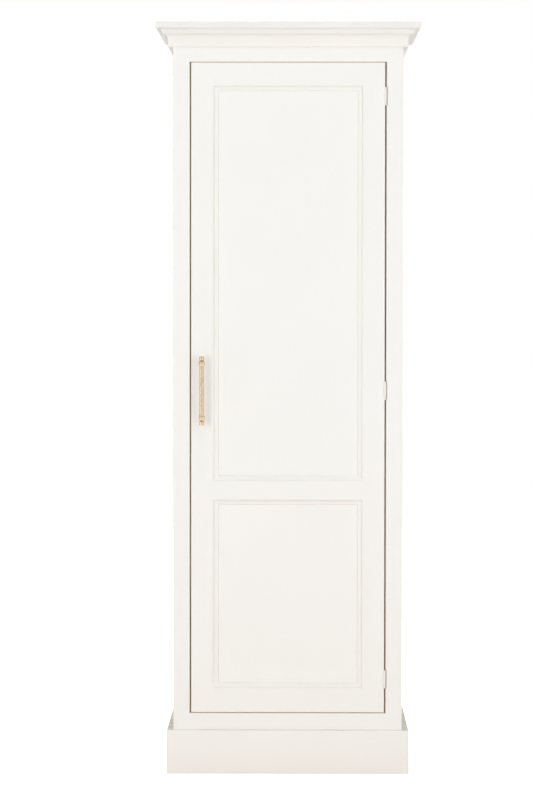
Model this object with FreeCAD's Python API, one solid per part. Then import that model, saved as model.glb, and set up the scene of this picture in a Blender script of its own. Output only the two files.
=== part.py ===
import FreeCAD, Part
import os
from FreeCAD import Vector

# A tall wardrobe with one inset panelled door, a planted crown and a planted plinth, in millimetres.
# X runs to the right as seen from the front, the front faces -Y and Z is up.
# The origin lies on the floor, below the middle of the box that holds the whole wardrobe.

# Carcass
overall_height = 2120.0
carcass_width = 647.0
carcass_depth = 560.0
board_thickness = 18.0
housing_depth = 6.0
top_well = 20.0
floor_stop = 8.0
back_thickness = 9.0
back_rebate = 9.0
back_groove_pitch = 102.0
back_groove_depth = 2.5
wall_rail_height = 70.0
wall_hole_radius = 3.0
wall_hole_spacing = 400.0
floor_block_leg = 40.0
floor_block_height = 90.0

# Face frame and door framing, cut from one stock thickness
framing_thickness = 22.0
frame_stile_width = 46.5
frame_top_rail_height = 109.5
frame_bottom_rail_base = 100.0
frame_bottom_rail_height = 71.2
tenon_thickness = 7.0
tenon_length = 32.0
tenon_shoulder = 12.0
mortise_room = 1.0
eased_edge = 0.8

# Door
door_lock_gap = 3.4
door_hinge_gap = 3.9
door_top_gap = 1.0
door_base_gap = 1.5
door_stile_width = 62.8
door_top_rail_height = 64.8
door_middle_rail_base = 776.0
door_middle_rail_height = 54.0
door_bottom_rail_height = 69.2
panel_thickness = 6.0
panel_recess = 11.0
panel_tongue = 9.0
panel_room = 1.0

# Moulding round each door panel: a quirk, a cove, a fillet and a small bead
moulding_width = 14.8
moulding_quirk = 1.2
moulding_lip = 0.8
moulding_cove_width = 7.2
moulding_cove_depth = 5.3
moulding_fillet_width = 3.8

# Crown, from its lower edge up: fascia, cove, leaning band, ovolo and a top fillet that stands a little proud
fascia_projection = 14.0
fascia_height = 13.0
cove_reach = 12.0
cove_height = 23.0
quirk_reach = 3.0
band_lean = 5.0
band_height = 13.0
ovolo_step = 3.0
ovolo_reach = 11.8
ovolo_height = 11.0
fillet_step = 1.2
fillet_height = 8.0

# Plinth
plinth_height = 124.0
plinth_thickness = 19.5
plinth_round = 4.0

# Butt hinges
hinge_length = 51.0
hinge_inset = 95.0
middle_hinge_height = 1085.0
knuckle_radius = 3.4
knuckle_count = 5
knuckle_end_gap = 0.3
knuckle_face_gap = 0.5
knuckle_relief_width = 3.0
knuckle_relief_depth = 5.0
pin_radius = 1.75
pin_running_fit = 0.05
pin_tight_fit = 0.02
pin_door_shift = 1.0
leaf_thickness = 3.0
leaf_gap = 0.3
leaf_back_margin = 4.0
hinge_screw_spread = 30.0

# Bar handle
handle_height = 1085.0
handle_inset = 31.0
handle_centres = 153.0
handle_stand_off = 31.0
bar_radius = 6.75
bar_overhang = 7.0
bar_fit = 0.02
collar_radius = 8.4
collar_half_height = 6.5
collar_edge = 0.8
stem_radius = 5.5
rose_radius = 8.2
rose_thickness = 3.0
rose_round = 1.2
neck_radius = 5.4
neck_length = 2.0
cap_radius = 7.0
cap_length = 11.8
cap_round = 1.2
spigot_radius = 3.0
spigot_length = 8.0
bolt_radius = 2.0
bolt_room = 0.25
bolt_grip = 16.0
bolt_head_radius = 4.0
bolt_head_height = 2.6

# Hat shelf and hanging rail
hat_space = 330.0
shelf_setback = 60.0
shelf_side_room = 0.5
cleat_height = 30.0
cleat_thickness = 18.0
cleat_setback = 20.0
rail_drop = 65.0
rail_radius = 12.5
rail_wall = 1.5
socket_flange_radius = 26.0
socket_flange_thickness = 3.0
socket_cup_radius = 16.0
socket_cup_depth = 14.0
socket_fit = 0.1
socket_screw_circle = 20.5

# Door stop and magnetic catch
stop_overlap = 8.0
stop_height = 30.0
stop_thickness = 18.0
side_stop_width = 20.0
side_stop_thickness = 10.0
catch_inset = 20.0
catch_length = 44.0
catch_height = 16.0
catch_depth = 17.0
magnet_length = 20.0
magnet_height = 9.0
magnet_depth = 12.0
strike_length = 36.0
strike_height = 13.0
strike_thickness = 1.5

# Countersunk screws of one gauge
screw_head_radius = 3.2
screw_head_height = 1.8
screw_shank_radius = 1.5
hinge_screw_length = 16.0
back_screw_length = 25.0
inside_screw_length = 30.0
socket_screw_length = 14.0
strike_screw_length = 14.0
crown_screw_length = 40.0
plinth_screw_length = 32.0
screw_end_margin = 60.0
side_screw_count = 7
edge_screw_count = 3
plinth_screw_height_shares = (0.3, 0.7)

# Every cut runs this far past the face that it leaves
overrun = 1.0

# Places that follow from the sizes above
ovolo_out = fascia_projection + cove_reach + quirk_reach + band_lean + ovolo_step + ovolo_reach
crown_projection = ovolo_out + fillet_step
crown_height = fascia_height + cove_height + band_height + ovolo_height + fillet_height
half_width = carcass_width / 2
inner_half = half_width - board_thickness
opening_half = half_width - frame_stile_width
back_y = (carcass_depth + crown_projection) / 2
front_y = back_y - carcass_depth
frame_back_y = front_y + framing_thickness
back_panel_y = back_y - back_thickness
top_board_top = overall_height - top_well
top_board_base = top_board_top - board_thickness
opening_base = frame_bottom_rail_base + frame_bottom_rail_height
opening_top = overall_height - frame_top_rail_height
floor_top = opening_base + floor_stop
floor_base = floor_top - board_thickness
shelf_top = top_board_base - hat_space
shelf_base = shelf_top - board_thickness
shelf_front_y = frame_back_y + shelf_setback
rail_y = (frame_back_y + back_panel_y) / 2
rail_level = shelf_base - rail_drop
door_lock_x = door_lock_gap - opening_half
door_hinge_x = opening_half - door_hinge_gap
door_base = opening_base + door_base_gap
door_top = opening_top - door_top_gap
panel_half = opening_half - door_lock_gap - door_stile_width
lower_panel_base = door_base + door_bottom_rail_height
lower_panel_top = door_middle_rail_base
upper_panel_base = door_middle_rail_base + door_middle_rail_height
upper_panel_top = door_top - door_top_rail_height
panel_front_y = front_y + panel_recess
panel_back_y = panel_front_y + panel_thickness
groove_depth = panel_tongue + panel_room
pin_x = (opening_half + door_hinge_x) / 2 - pin_door_shift
pin_y = front_y - knuckle_radius - knuckle_face_gap
leaf_end_y = frame_back_y - leaf_back_margin
hinge_levels = {
    "top": door_top - hinge_inset,
    "middle": middle_hinge_height,
    "bottom": door_base + hinge_inset,
}
handle_x = door_lock_x + handle_inset
handle_y = front_y - handle_stand_off
stop_base = opening_top - stop_overlap
catch_x = catch_inset + catch_length / 2 - opening_half
catch_level = stop_base - catch_height / 2
catch_face_y = frame_back_y + strike_thickness

RIGHT = Vector(1, 0, 0)
LEFT = Vector(-1, 0, 0)
BACK = Vector(0, 1, 0)
FRONT = Vector(0, -1, 0)
UP = Vector(0, 0, 1)

nodes = {}


def block(x_span, y_span, z_span):
    """Box between the low and the high value of each span."""
    low = Vector(x_span[0], y_span[0], z_span[0])
    return Part.makeBox(x_span[1] - x_span[0], y_span[1] - y_span[0], z_span[1] - z_span[0], low)


def line(start, end):
    """Straight edge."""
    return Part.LineSegment(start, end).toShape()


def bend(start, corner, end):
    """Smooth curved edge that starts and ends along the two sides of a corner."""
    curve = Part.BezierCurve()
    curve.setPoles([start, corner, end])
    return curve.toShape()


def prism(points, reach):
    """Straight-sided outline pushed along a vector."""
    return Part.Face(Part.makePolygon(points + points[:1])).extrude(reach)


def spread(low, high, count):
    """Evenly spaced places from low to high."""
    return [low + (high - low) * step / (count - 1) for step in range(count)]


def one_solid(shape):
    """The single solid that a cut, a trim or a union leaves."""
    return shape.removeSplitter().Solids[0]


def turned(outline, base, direction):
    """Solid turned about an axis, from (radius, height) points that start and end on it."""
    points = [Vector(radius, 0, height) for radius, height in outline]
    solid = Part.Face(Part.makePolygon(points + points[:1])).revolve(Vector(0, 0, 0), UP, 360)
    solid.Placement = FreeCAD.Placement(base, FreeCAD.Rotation(UP, direction))
    return solid


def screw(head, direction, length):
    """Countersunk screw whose flat head lies at a point and whose tip is along a direction."""
    outline = [
        (0, 0),
        (screw_head_radius, 0),
        (screw_shank_radius, screw_head_height),
        (screw_shank_radius, length - screw_head_height),
        (0, length),
    ]
    return turned(outline, head, direction)


def fix(name, screws, *members):
    """Keeps equal screws as one group in one node, and sinks them into the members that they join."""
    nodes[name] = nodes.get(name, []) + screws
    for member in members:
        nodes[member] = one_solid(nodes[member].cut(screws))


def framed_rail(half_length, base, height):
    """Rail between two stiles, with a stub tenon on each end, and the cutter for the mortises."""
    middle_y = front_y + framing_thickness / 2
    tenon_y = (middle_y - tenon_thickness / 2, middle_y + tenon_thickness / 2)
    tenon_z = (base + tenon_shoulder, base + height - tenon_shoulder)
    tenon_half = half_length + tenon_length
    mortise_half = tenon_half + mortise_room
    rail = block((-half_length, half_length), (front_y, frame_back_y), (base, base + height))
    tenon = block((-tenon_half, tenon_half), tenon_y, tenon_z)
    mortise = block((-mortise_half, mortise_half), tenon_y, tenon_z)
    return one_solid(rail.fuse(tenon)), mortise


def eased_plate(x_span, z_span, openings, kept_levels=()):
    """Plate of the stock thickness with openings, its front edges eased except at the kept levels."""
    plate = block(x_span, (front_y, frame_back_y), z_span)
    for opening_x, opening_z in openings:
        plate = plate.cut(block(opening_x, (front_y, frame_back_y), opening_z))
    edges = []
    for edge in plate.Edges:
        bounds = edge.BoundBox
        on_front = bounds.YMax < front_y + eased_edge / 2
        offsets = [max(abs(bounds.ZMin - level), abs(bounds.ZMax - level)) for level in kept_levels]
        kept = any(offset < eased_edge for offset in offsets)
        if on_front and not kept:
            edges.append(edge)
    return plate.makeFillet(eased_edge, edges)


def build_carcass():
    """Sides, top, floor, back and the pieces inside the base."""
    board_half = inner_half + housing_depth
    back_half = inner_half + back_rebate
    board_y = (frame_back_y, back_panel_y)
    top_board = block((-board_half, board_half), board_y, (top_board_base, top_board_top))
    floor_board = block((-board_half, board_half), board_y, (floor_base, floor_top))
    back = block((-back_half, back_half), (back_panel_y, back_y), (floor_base, overall_height))
    for name, side in (("left", -1), ("right", 1)):
        x_span = sorted((side * inner_half, side * half_width))
        panel = block(x_span, (frame_back_y, back_y), (0, overall_height))
        nodes["side_panel_" + name] = one_solid(panel.cut([top_board, floor_board, back]))
    nodes["top_board"] = top_board
    nodes["floor_board"] = floor_board

    groove_count = int(back_half / back_groove_pitch)
    grooves = []
    for step in range(-groove_count, groove_count + 1):
        x = step * back_groove_pitch
        corners = [
            Vector(x - back_groove_depth, back_panel_y, floor_base - overrun),
            Vector(x + back_groove_depth, back_panel_y, floor_base - overrun),
            Vector(x, back_panel_y + back_groove_depth, floor_base - overrun),
        ]
        grooves.append(prism(corners, UP * (overall_height - floor_base + overrun * 2)))
    wall_rail_base = top_board_base - wall_rail_height
    wall_rail_y = (back_panel_y - board_thickness, back_panel_y)
    wall_rail = block((-inner_half, inner_half), wall_rail_y, (wall_rail_base, top_board_base))
    holes = []
    for side in (-1, 1):
        start = Vector(side * wall_hole_spacing / 2, wall_rail_y[0], (wall_rail_base + top_board_base) / 2)
        holes.append(Part.makeCylinder(wall_hole_radius, board_thickness + back_thickness, start, BACK))
    nodes["back_panel"] = one_solid(back.cut(grooves + holes))
    nodes["wall_rail"] = one_solid(wall_rail.cut(holes))

    base_back_y = back_y - board_thickness
    nodes["plinth_back"] = block((-inner_half, inner_half), (base_back_y, back_y), (0, floor_base))
    glue_blocks = []
    for side in (-1, 1):
        for corner_y, turn in ((frame_back_y, 1), (base_back_y, -1)):
            corner = Vector(side * inner_half, corner_y, floor_base - floor_block_height)
            across = corner + LEFT * (side * floor_block_leg)
            along = corner + BACK * (turn * floor_block_leg)
            glue_blocks.append(prism([corner, across, along], UP * floor_block_height))
    nodes["floor_blocks"] = glue_blocks


def build_face_frame():
    """Two stiles and two rails, tenoned, on the front of the carcass."""
    rails = {
        "top": (opening_top, frame_top_rail_height),
        "bottom": (frame_bottom_rail_base, frame_bottom_rail_height),
    }
    doorway = ((-opening_half, opening_half), (opening_base, opening_top))
    void_below = ((-opening_half, opening_half), (0, frame_bottom_rail_base))
    hidden_levels = (0, frame_bottom_rail_base, overall_height)
    openings = (doorway, void_below)
    plate = eased_plate((-half_width, half_width), (0, overall_height), openings, hidden_levels)
    mortises = []
    for name, (base, height) in rails.items():
        rail, mortise = framed_rail(opening_half, base, height)
        nodes["frame_rail_" + name] = one_solid(rail.common(plate))
        mortises.append(mortise)
    for name, side in (("left", -1), ("right", 1)):
        x_span = sorted((side * opening_half, side * half_width))
        stile = block(x_span, (front_y, frame_back_y), (0, overall_height))
        nodes["frame_stile_" + name] = one_solid(stile.common(plate).cut(mortises))


def crown_face(place):
    """Section of the crown; place turns a projection and a height into a point."""
    base = overall_height - crown_height
    cove_base = base + fascia_height
    band_base = cove_base + cove_height
    ovolo_base = band_base + band_height
    fillet_base = ovolo_base + ovolo_height
    cove_out = fascia_projection + cove_reach
    band_out = cove_out + quirk_reach
    band_top_out = band_out + band_lean
    ovolo_in = band_top_out + ovolo_step
    cove_low = place(fascia_projection, cove_base)
    cove_high = place(cove_out, band_base)
    ovolo_low = place(ovolo_in, ovolo_base)
    ovolo_high = place(ovolo_out, fillet_base)
    edges = [
        line(place(0, base), place(fascia_projection, base)),
        line(place(fascia_projection, base), cove_low),
        bend(cove_low, place(fascia_projection, band_base), cove_high),
        line(cove_high, place(band_out, band_base)),
        line(place(band_out, band_base), place(band_top_out, ovolo_base)),
        line(place(band_top_out, ovolo_base), ovolo_low),
        bend(ovolo_low, place(ovolo_out, ovolo_base), ovolo_high),
        line(ovolo_high, place(crown_projection, fillet_base)),
        line(place(crown_projection, fillet_base), place(crown_projection, overall_height)),
        line(place(crown_projection, overall_height), place(0, overall_height)),
        line(place(0, overall_height), place(0, base)),
    ]
    return Part.Face(Part.Wire(edges))


def plinth_face(place):
    """Section of the plinth: a board with its upper outer edge rounded."""
    round_low = place(plinth_thickness, plinth_height - plinth_round)
    round_high = place(plinth_thickness - plinth_round, plinth_height)
    edges = [
        line(place(0, 0), place(plinth_thickness, 0)),
        line(place(plinth_thickness, 0), round_low),
        bend(round_low, place(plinth_thickness, plinth_height), round_high),
        line(round_high, place(0, plinth_height)),
        line(place(0, plinth_height), place(0, 0)),
    ]
    return Part.Face(Part.Wire(edges))


def build_planted_runs(name, section, projection):
    """Front, left and right runs of a section planted round the carcass, mitred at the front corners."""
    outer = half_width + projection
    outer_y = front_y - projection
    height = UP * overall_height

    def front_place(out, level):
        return Vector(-outer, front_y - out, level)

    front_plan = [
        Vector(-half_width, front_y, 0),
        Vector(half_width, front_y, 0),
        Vector(outer, outer_y, 0),
        Vector(-outer, outer_y, 0),
    ]
    front_run = section(front_place).extrude(RIGHT * (outer * 2))
    nodes[name + "_front"] = one_solid(front_run.common(prism(front_plan, height)))
    for end, side in (("left", -1), ("right", 1)):

        def side_place(out, level):
            return Vector(side * (half_width + out), outer_y, level)

        side_plan = [
            Vector(side * half_width, front_y, 0),
            Vector(side * outer, outer_y, 0),
            Vector(side * outer, back_y, 0),
            Vector(side * half_width, back_y, 0),
        ]
        side_run = section(side_place).extrude(BACK * (back_y - outer_y))
        nodes[name + "_" + end] = one_solid(side_run.common(prism(side_plan, height)))


def build_interior():
    """Hat shelf on its cleats, and the hanging rail in its two sockets."""
    shelf_half = inner_half - shelf_side_room
    cleat_in = inner_half - cleat_thickness
    cleat_z = (shelf_base - cleat_height, shelf_base)
    cleat_front_y = shelf_front_y + cleat_setback
    shelf_y = (shelf_front_y, back_panel_y)
    nodes["hat_shelf"] = block((-shelf_half, shelf_half), shelf_y, (shelf_base, shelf_top))
    back_cleat_y = (back_panel_y - cleat_thickness, back_panel_y)
    nodes["shelf_cleat_back"] = block((-cleat_in, cleat_in), back_cleat_y, cleat_z)
    for name, side in (("left", -1), ("right", 1)):
        x_span = sorted((side * cleat_in, side * inner_half))
        nodes["shelf_cleat_" + name] = block(x_span, (cleat_front_y, back_panel_y), cleat_z)

    rail_half = inner_half - socket_flange_thickness
    rail_start = Vector(-rail_half, rail_y, rail_level)
    tube = Part.makeCylinder(rail_radius, rail_half * 2, rail_start, RIGHT)
    bore = Part.makeCylinder(rail_radius - rail_wall, rail_half * 2, rail_start, RIGHT)
    nodes["hanging_rail"] = tube.cut(bore)
    for name, side in (("left", -1), ("right", 1)):
        inward = LEFT * side
        seat = Vector(side * inner_half, rail_y, rail_level)
        mouth = seat + inward * socket_flange_thickness
        flange = Part.makeCylinder(socket_flange_radius, socket_flange_thickness, seat, inward)
        cup = Part.makeCylinder(socket_cup_radius, socket_cup_depth, seat, inward)
        bore = Part.makeCylinder(rail_radius + socket_fit, socket_cup_depth, mouth, inward)
        nodes["rail_socket_" + name] = one_solid(flange.fuse(cup).cut(bore))


def build_door_frame():
    """Two stiles, three rails and two panels, tenoned and grooved together."""
    panel_y = (panel_front_y, panel_back_y)
    panel_x = (-panel_half - panel_tongue, panel_half + panel_tongue)
    groove_x = (-panel_half - groove_depth, panel_half + groove_depth)
    openings = {"lower": (lower_panel_base, lower_panel_top), "upper": (upper_panel_base, upper_panel_top)}
    grooves = []
    for name, (base, top) in openings.items():
        nodes["door_panel_" + name] = block(panel_x, panel_y, (base - panel_tongue, top + panel_tongue))
        grooves.append(block(groove_x, panel_y, (base - groove_depth, top + groove_depth)))
    rails = {
        "top": (upper_panel_top, door_top_rail_height),
        "middle": (door_middle_rail_base, door_middle_rail_height),
        "bottom": (door_base, door_bottom_rail_height),
    }
    holes = [((-panel_half, panel_half), span) for span in openings.values()]
    plate = eased_plate((door_lock_x, door_hinge_x), (door_base, door_top), holes)
    mortises = []
    for name, (base, height) in rails.items():
        rail, mortise = framed_rail(panel_half, base, height)
        nodes["door_rail_" + name] = one_solid(rail.common(plate).cut(grooves))
        mortises.append(mortise)
    for name, x_span in (("lock", (door_lock_x, -panel_half)), ("hinge", (panel_half, door_hinge_x))):
        stile = block(x_span, (front_y, frame_back_y), (door_base, door_top))
        nodes["door_stile_" + name] = one_solid(stile.common(plate).cut(grooves + mortises))


def moulding_face(place):
    """Section of the panel moulding; place turns a reach and a depth into a point."""
    cove_end = moulding_lip + moulding_cove_width
    cove_floor = moulding_quirk + moulding_cove_depth
    fillet_end = cove_end + moulding_fillet_width
    cove_start = place(moulding_lip, moulding_quirk)
    fillet_start = place(cove_end, cove_floor)
    bead_start = place(fillet_end, cove_floor)
    bead_end = place(moulding_width, panel_recess)
    edges = [
        line(place(0, panel_recess), place(0, moulding_quirk)),
        line(place(0, moulding_quirk), cove_start),
        bend(cove_start, place(moulding_lip, cove_floor), fillet_start),
        line(fillet_start, bead_start),
        bend(bead_start, place(moulding_width, cove_floor), bead_end),
        line(bead_end, place(0, panel_recess)),
    ]
    return Part.Face(Part.Wire(edges))


def moulding_strips(base, top):
    """Four strips round one panel opening, mitred at its corners."""
    width = moulding_width
    strips = []
    for side in (-1, 1):

        def upright_place(reach, depth):
            return Vector(side * (panel_half - reach), front_y + depth, base)

        corners = [
            Vector(side * panel_half, front_y, base),
            Vector(side * panel_half, front_y, top),
            Vector(side * (panel_half - width), front_y, top - width),
            Vector(side * (panel_half - width), front_y, base + width),
        ]
        run = moulding_face(upright_place).extrude(UP * (top - base))
        strips.append(one_solid(run.common(prism(corners, BACK * panel_recess))))
    for edge, inward in ((base, 1), (top, -1)):

        def level_place(reach, depth):
            return Vector(-panel_half, front_y + depth, edge + inward * reach)

        corners = [
            Vector(-panel_half, front_y, edge),
            Vector(panel_half, front_y, edge),
            Vector(panel_half - width, front_y, edge + inward * width),
            Vector(width - panel_half, front_y, edge + inward * width),
        ]
        run = moulding_face(level_place).extrude(RIGHT * (panel_half * 2))
        strips.append(one_solid(run.common(prism(corners, BACK * panel_recess))))
    return strips


def hinge_leaf(level, side, own_knuckles, bore_fit):
    """Leaf on one side of the pin, with the knuckles that it carries, and the cutter for its seat."""
    base = level - hinge_length / 2
    step = hinge_length / knuckle_count
    x_span = sorted((pin_x + side * leaf_gap / 2, pin_x + side * (leaf_gap / 2 + leaf_thickness)))
    seat = block(x_span, (front_y, leaf_end_y), (base, base + hinge_length))
    leaf = seat
    for index in own_knuckles:
        low = base + index * step + knuckle_end_gap / 2
        length = step - knuckle_end_gap
        barrel = Part.makeCylinder(knuckle_radius, length, Vector(pin_x, pin_y, low), UP)
        strap = block(x_span, (pin_y, front_y), (low, low + length))
        leaf = leaf.fuse([barrel, strap])
    bore = Part.makeCylinder(pin_radius + bore_fit, hinge_length, Vector(pin_x, pin_y, base), UP)
    return one_solid(leaf.cut(bore)), seat


def build_hinges():
    """Three butt hinges let into the frame and the door, with their pins and screws.

    The frame is cut back beside each knuckle, so that it clears the painted edge.
    """
    frame_knuckles = range(0, knuckle_count, 2)
    door_knuckles = range(1, knuckle_count, 2)
    screw_y = (front_y + leaf_end_y) / 2
    relief_x = (opening_half, opening_half + knuckle_relief_width)
    relief_y = (front_y, front_y + knuckle_relief_depth)
    frame_screws = []
    door_screws = []
    pins = []
    for name, level in hinge_levels.items():
        frame_leaf, frame_seat = hinge_leaf(level, 1, frame_knuckles, pin_tight_fit)
        door_leaf, door_seat = hinge_leaf(level, -1, door_knuckles, pin_running_fit)
        nodes["hinge_frame_leaf_" + name] = frame_leaf
        nodes["hinge_door_leaf_" + name] = door_leaf
        relief = block(relief_x, relief_y, (level - hinge_length / 2, level + hinge_length / 2))
        nodes["frame_stile_right"] = one_solid(nodes["frame_stile_right"].cut([frame_seat, relief]))
        nodes["door_stile_hinge"] = one_solid(nodes["door_stile_hinge"].cut(door_seat))
        pin_base = Vector(pin_x, pin_y, level - hinge_length / 2)
        pins.append(Part.makeCylinder(pin_radius, hinge_length, pin_base, UP))
        for offset in (-hinge_screw_spread / 2, hinge_screw_spread / 2):
            frame_head = Vector(pin_x + leaf_gap / 2, screw_y, level + offset)
            door_head = Vector(pin_x - leaf_gap / 2, screw_y, level + offset)
            frame_screws.append(screw(frame_head, RIGHT, hinge_screw_length))
            door_screws.append(screw(door_head, LEFT, hinge_screw_length))
    nodes["hinge_pins"] = pins
    frame_leaves = ["hinge_frame_leaf_" + name for name in hinge_levels]
    door_leaves = ["hinge_door_leaf_" + name for name in hinge_levels]
    fix("hinge_frame_screws", frame_screws, "frame_stile_right", *frame_leaves)
    fix("hinge_door_screws", door_screws, "door_stile_hinge", *door_leaves)


def build_handle():
    """Round bar held by two collared posts, with a necked cap on each end."""
    collar_edge_radius = bar_radius + collar_edge
    bar_half = handle_centres / 2 + bar_overhang
    bar_base = Vector(handle_x, handle_y, handle_height - bar_half)
    bar = Part.makeCylinder(bar_radius, bar_half * 2, bar_base, UP)
    bar_hole = Part.makeCylinder(bar_radius + bar_fit, bar_half * 2, bar_base, UP)
    bolts = []
    for name, side in (("upper", 1), ("lower", -1)):
        level = handle_height + side * handle_centres / 2
        centre = Vector(handle_x, handle_y, level)
        seat = Vector(handle_x, front_y, level)
        low_edge = Vector(collar_edge_radius, 0, -collar_half_height)
        high_edge = Vector(collar_edge_radius, 0, collar_half_height)
        collar_edges = [
            line(Vector(0, 0, -collar_half_height), low_edge),
            Part.Arc(low_edge, Vector(collar_radius, 0, 0), high_edge).toShape(),
            line(high_edge, Vector(0, 0, collar_half_height)),
            line(Vector(0, 0, collar_half_height), Vector(0, 0, -collar_half_height)),
        ]
        collar = Part.Face(Part.Wire(collar_edges)).revolve(Vector(0, 0, 0), UP, 360)
        collar.translate(centre)
        stem = Part.makeCylinder(stem_radius, handle_stand_off, seat, FRONT)
        rose = Part.makeCylinder(rose_radius, rose_thickness, seat, FRONT)
        rim = [edge for edge in rose.Edges if edge.BoundBox.YMax < front_y - rose_thickness / 2]
        rose = rose.makeFillet(rose_round, [edge for edge in rim if edge.Closed])
        bolt_tip = Vector(handle_x, front_y - bolt_grip, level)
        thread = Part.makeCylinder(bolt_radius, bolt_grip + framing_thickness, bolt_tip, BACK)
        post = collar.fuse([stem, rose]).cut([bar_hole, thread])
        nodes["handle_post_" + name] = one_solid(post)
        passage = Part.makeCylinder(bolt_radius + bolt_room, framing_thickness, seat, BACK)
        nodes["door_stile_lock"] = one_solid(nodes["door_stile_lock"].cut(passage))
        head_seat = Vector(handle_x, frame_back_y, level)
        head = Part.makeCylinder(bolt_head_radius, bolt_head_height, head_seat, BACK)
        bolts.append(one_solid(thread.fuse(head)))

        outward = UP * side
        bar_end = Vector(handle_x, handle_y, handle_height + side * bar_half)
        spigot = Part.makeCylinder(spigot_radius, spigot_length, bar_end, outward * -1)
        neck = Part.makeCylinder(neck_radius, neck_length, bar_end, outward)
        cap = Part.makeCylinder(cap_radius, cap_length, bar_end + outward * neck_length, outward)
        rims = [edge for edge in cap.Edges if edge.Closed]
        cap = cap.makeFillet(cap_round, rims)
        nodes["handle_cap_" + name] = one_solid(cap.fuse([neck, spigot]))
        bar = bar.cut(spigot)
    nodes["handle_bar"] = one_solid(bar)
    nodes["handle_bolts"] = bolts


def build_stop_and_catch():
    """Stops behind the top rail and the stiles, with a magnetic catch and its strike on the door."""
    stop_y = (frame_back_y, frame_back_y + stop_thickness)
    nodes["door_stop"] = block((-inner_half, inner_half), stop_y, (stop_base, stop_base + stop_height))
    side_y = (frame_back_y, frame_back_y + side_stop_thickness)
    side_z = (floor_top, stop_base)
    side_reach = opening_half - stop_overlap
    side_x = (side_reach, side_reach + side_stop_width)
    side_spans = [side_x, (-side_x[1], -side_x[0])]
    nodes["side_stops"] = [block(span, side_y, side_z) for span in side_spans]
    case_x = (catch_x - catch_length / 2, catch_x + catch_length / 2)
    case_y = (catch_face_y, catch_face_y + catch_depth)
    case_base = stop_base - catch_height
    magnet_x = (catch_x - magnet_length / 2, catch_x + magnet_length / 2)
    magnet_y = (catch_face_y, catch_face_y + magnet_depth)
    magnet = block(magnet_x, magnet_y, (catch_level - magnet_height / 2, catch_level + magnet_height / 2))
    nodes["catch_case"] = one_solid(block(case_x, case_y, (case_base, stop_base)).cut(magnet))
    nodes["catch_magnet"] = magnet
    ear_offset = (catch_length + magnet_length) / 4
    ear_y = catch_face_y + catch_depth / 2
    ears = [Vector(catch_x + side * ear_offset, ear_y, case_base) for side in (-1, 1)]
    fix("inside_screws", [screw(ear, UP, inside_screw_length) for ear in ears], "catch_case", "door_stop")

    strike_x = (catch_x - strike_length / 2, catch_x + strike_length / 2)
    strike_z = (catch_level - strike_height / 2, catch_level + strike_height / 2)
    nodes["catch_strike"] = block(strike_x, (frame_back_y, catch_face_y), strike_z)
    strike_screw = screw(Vector(catch_x, catch_face_y, catch_level), FRONT, strike_screw_length)
    fix("strike_screw", [strike_screw], "catch_strike", "door_stile_lock", "door_rail_top")


def build_back_screws():
    """Screws through the back into the sides, the floor, the top and the back cleat."""
    low = floor_base + screw_end_margin
    high = top_board_base - screw_end_margin
    across = spread(screw_end_margin - inner_half, inner_half - screw_end_margin, edge_screw_count)
    places = []
    for side in (-1, 1):
        x = side * (inner_half + back_rebate / 2)
        places += [(x, z) for z in spread(low, high, side_screw_count)]
    board_levels = [base + board_thickness / 2 for base in (floor_base, top_board_base)]
    for z in board_levels + [shelf_base - cleat_height / 2]:
        places += [(x, z) for x in across]
    screws = [screw(Vector(x, back_y, z), FRONT, back_screw_length) for x, z in places]
    sides = ["side_panel_left", "side_panel_right"]
    fix("back_screws", screws, "back_panel", "floor_board", "top_board", "shelf_cleat_back", *sides)


def build_inner_screws():
    """Screws from inside that hold the cleats, the rail sockets, the crown and the plinth."""
    cleat_low = shelf_front_y + cleat_setback + screw_end_margin
    cleat_y = spread(cleat_low, back_panel_y - screw_end_margin, edge_screw_count)
    side_y = spread(frame_back_y + screw_end_margin, back_panel_y - screw_end_margin, edge_screw_count)
    front_x = spread(screw_end_margin - opening_half, opening_half - screw_end_margin, edge_screw_count)
    cleat_level = shelf_base - cleat_height / 2
    crown_level = overall_height - top_well / 2
    plinth_levels = [plinth_height * share for share in plinth_screw_height_shares]
    cleat_screws = []
    rail_screws = []
    crown_screws = [screw(Vector(x, frame_back_y, crown_level), FRONT, crown_screw_length) for x in front_x]
    plinth_screws = []
    for side in (-1, 1):
        outward = RIGHT * side
        cleat_face = side * (inner_half - cleat_thickness)
        flange_face = side * (inner_half - socket_flange_thickness)
        stile_x = side * (opening_half + inner_half) / 2
        for y in cleat_y:
            cleat_screws.append(screw(Vector(cleat_face, y, cleat_level), outward, inside_screw_length))
        for offset in (-socket_screw_circle, socket_screw_circle):
            head = Vector(flange_face, rail_y, rail_level + offset)
            rail_screws.append(screw(head, outward, socket_screw_length))
        for y in side_y:
            head = Vector(side * inner_half, y, crown_level)
            crown_screws.append(screw(head, outward, crown_screw_length))
        for level in plinth_levels:
            plinth_screws.append(screw(Vector(stile_x, frame_back_y, level), FRONT, plinth_screw_length))
            for y in side_y:
                head = Vector(side * inner_half, y, level)
                plinth_screws.append(screw(head, outward, plinth_screw_length))
    sides = ["side_panel_left", "side_panel_right"]
    fix("inside_screws", cleat_screws, "shelf_cleat_left", "shelf_cleat_right", *sides)
    fix("rail_screws", rail_screws, "rail_socket_left", "rail_socket_right", *sides)
    fix("crown_screws", crown_screws, "frame_rail_top", "crown_front", "crown_left", "crown_right", *sides)
    stiles = ["frame_stile_left", "frame_stile_right"]
    fix("plinth_screws", plinth_screws, "plinth_front", "plinth_left", "plinth_right", *stiles, *sides)


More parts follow.
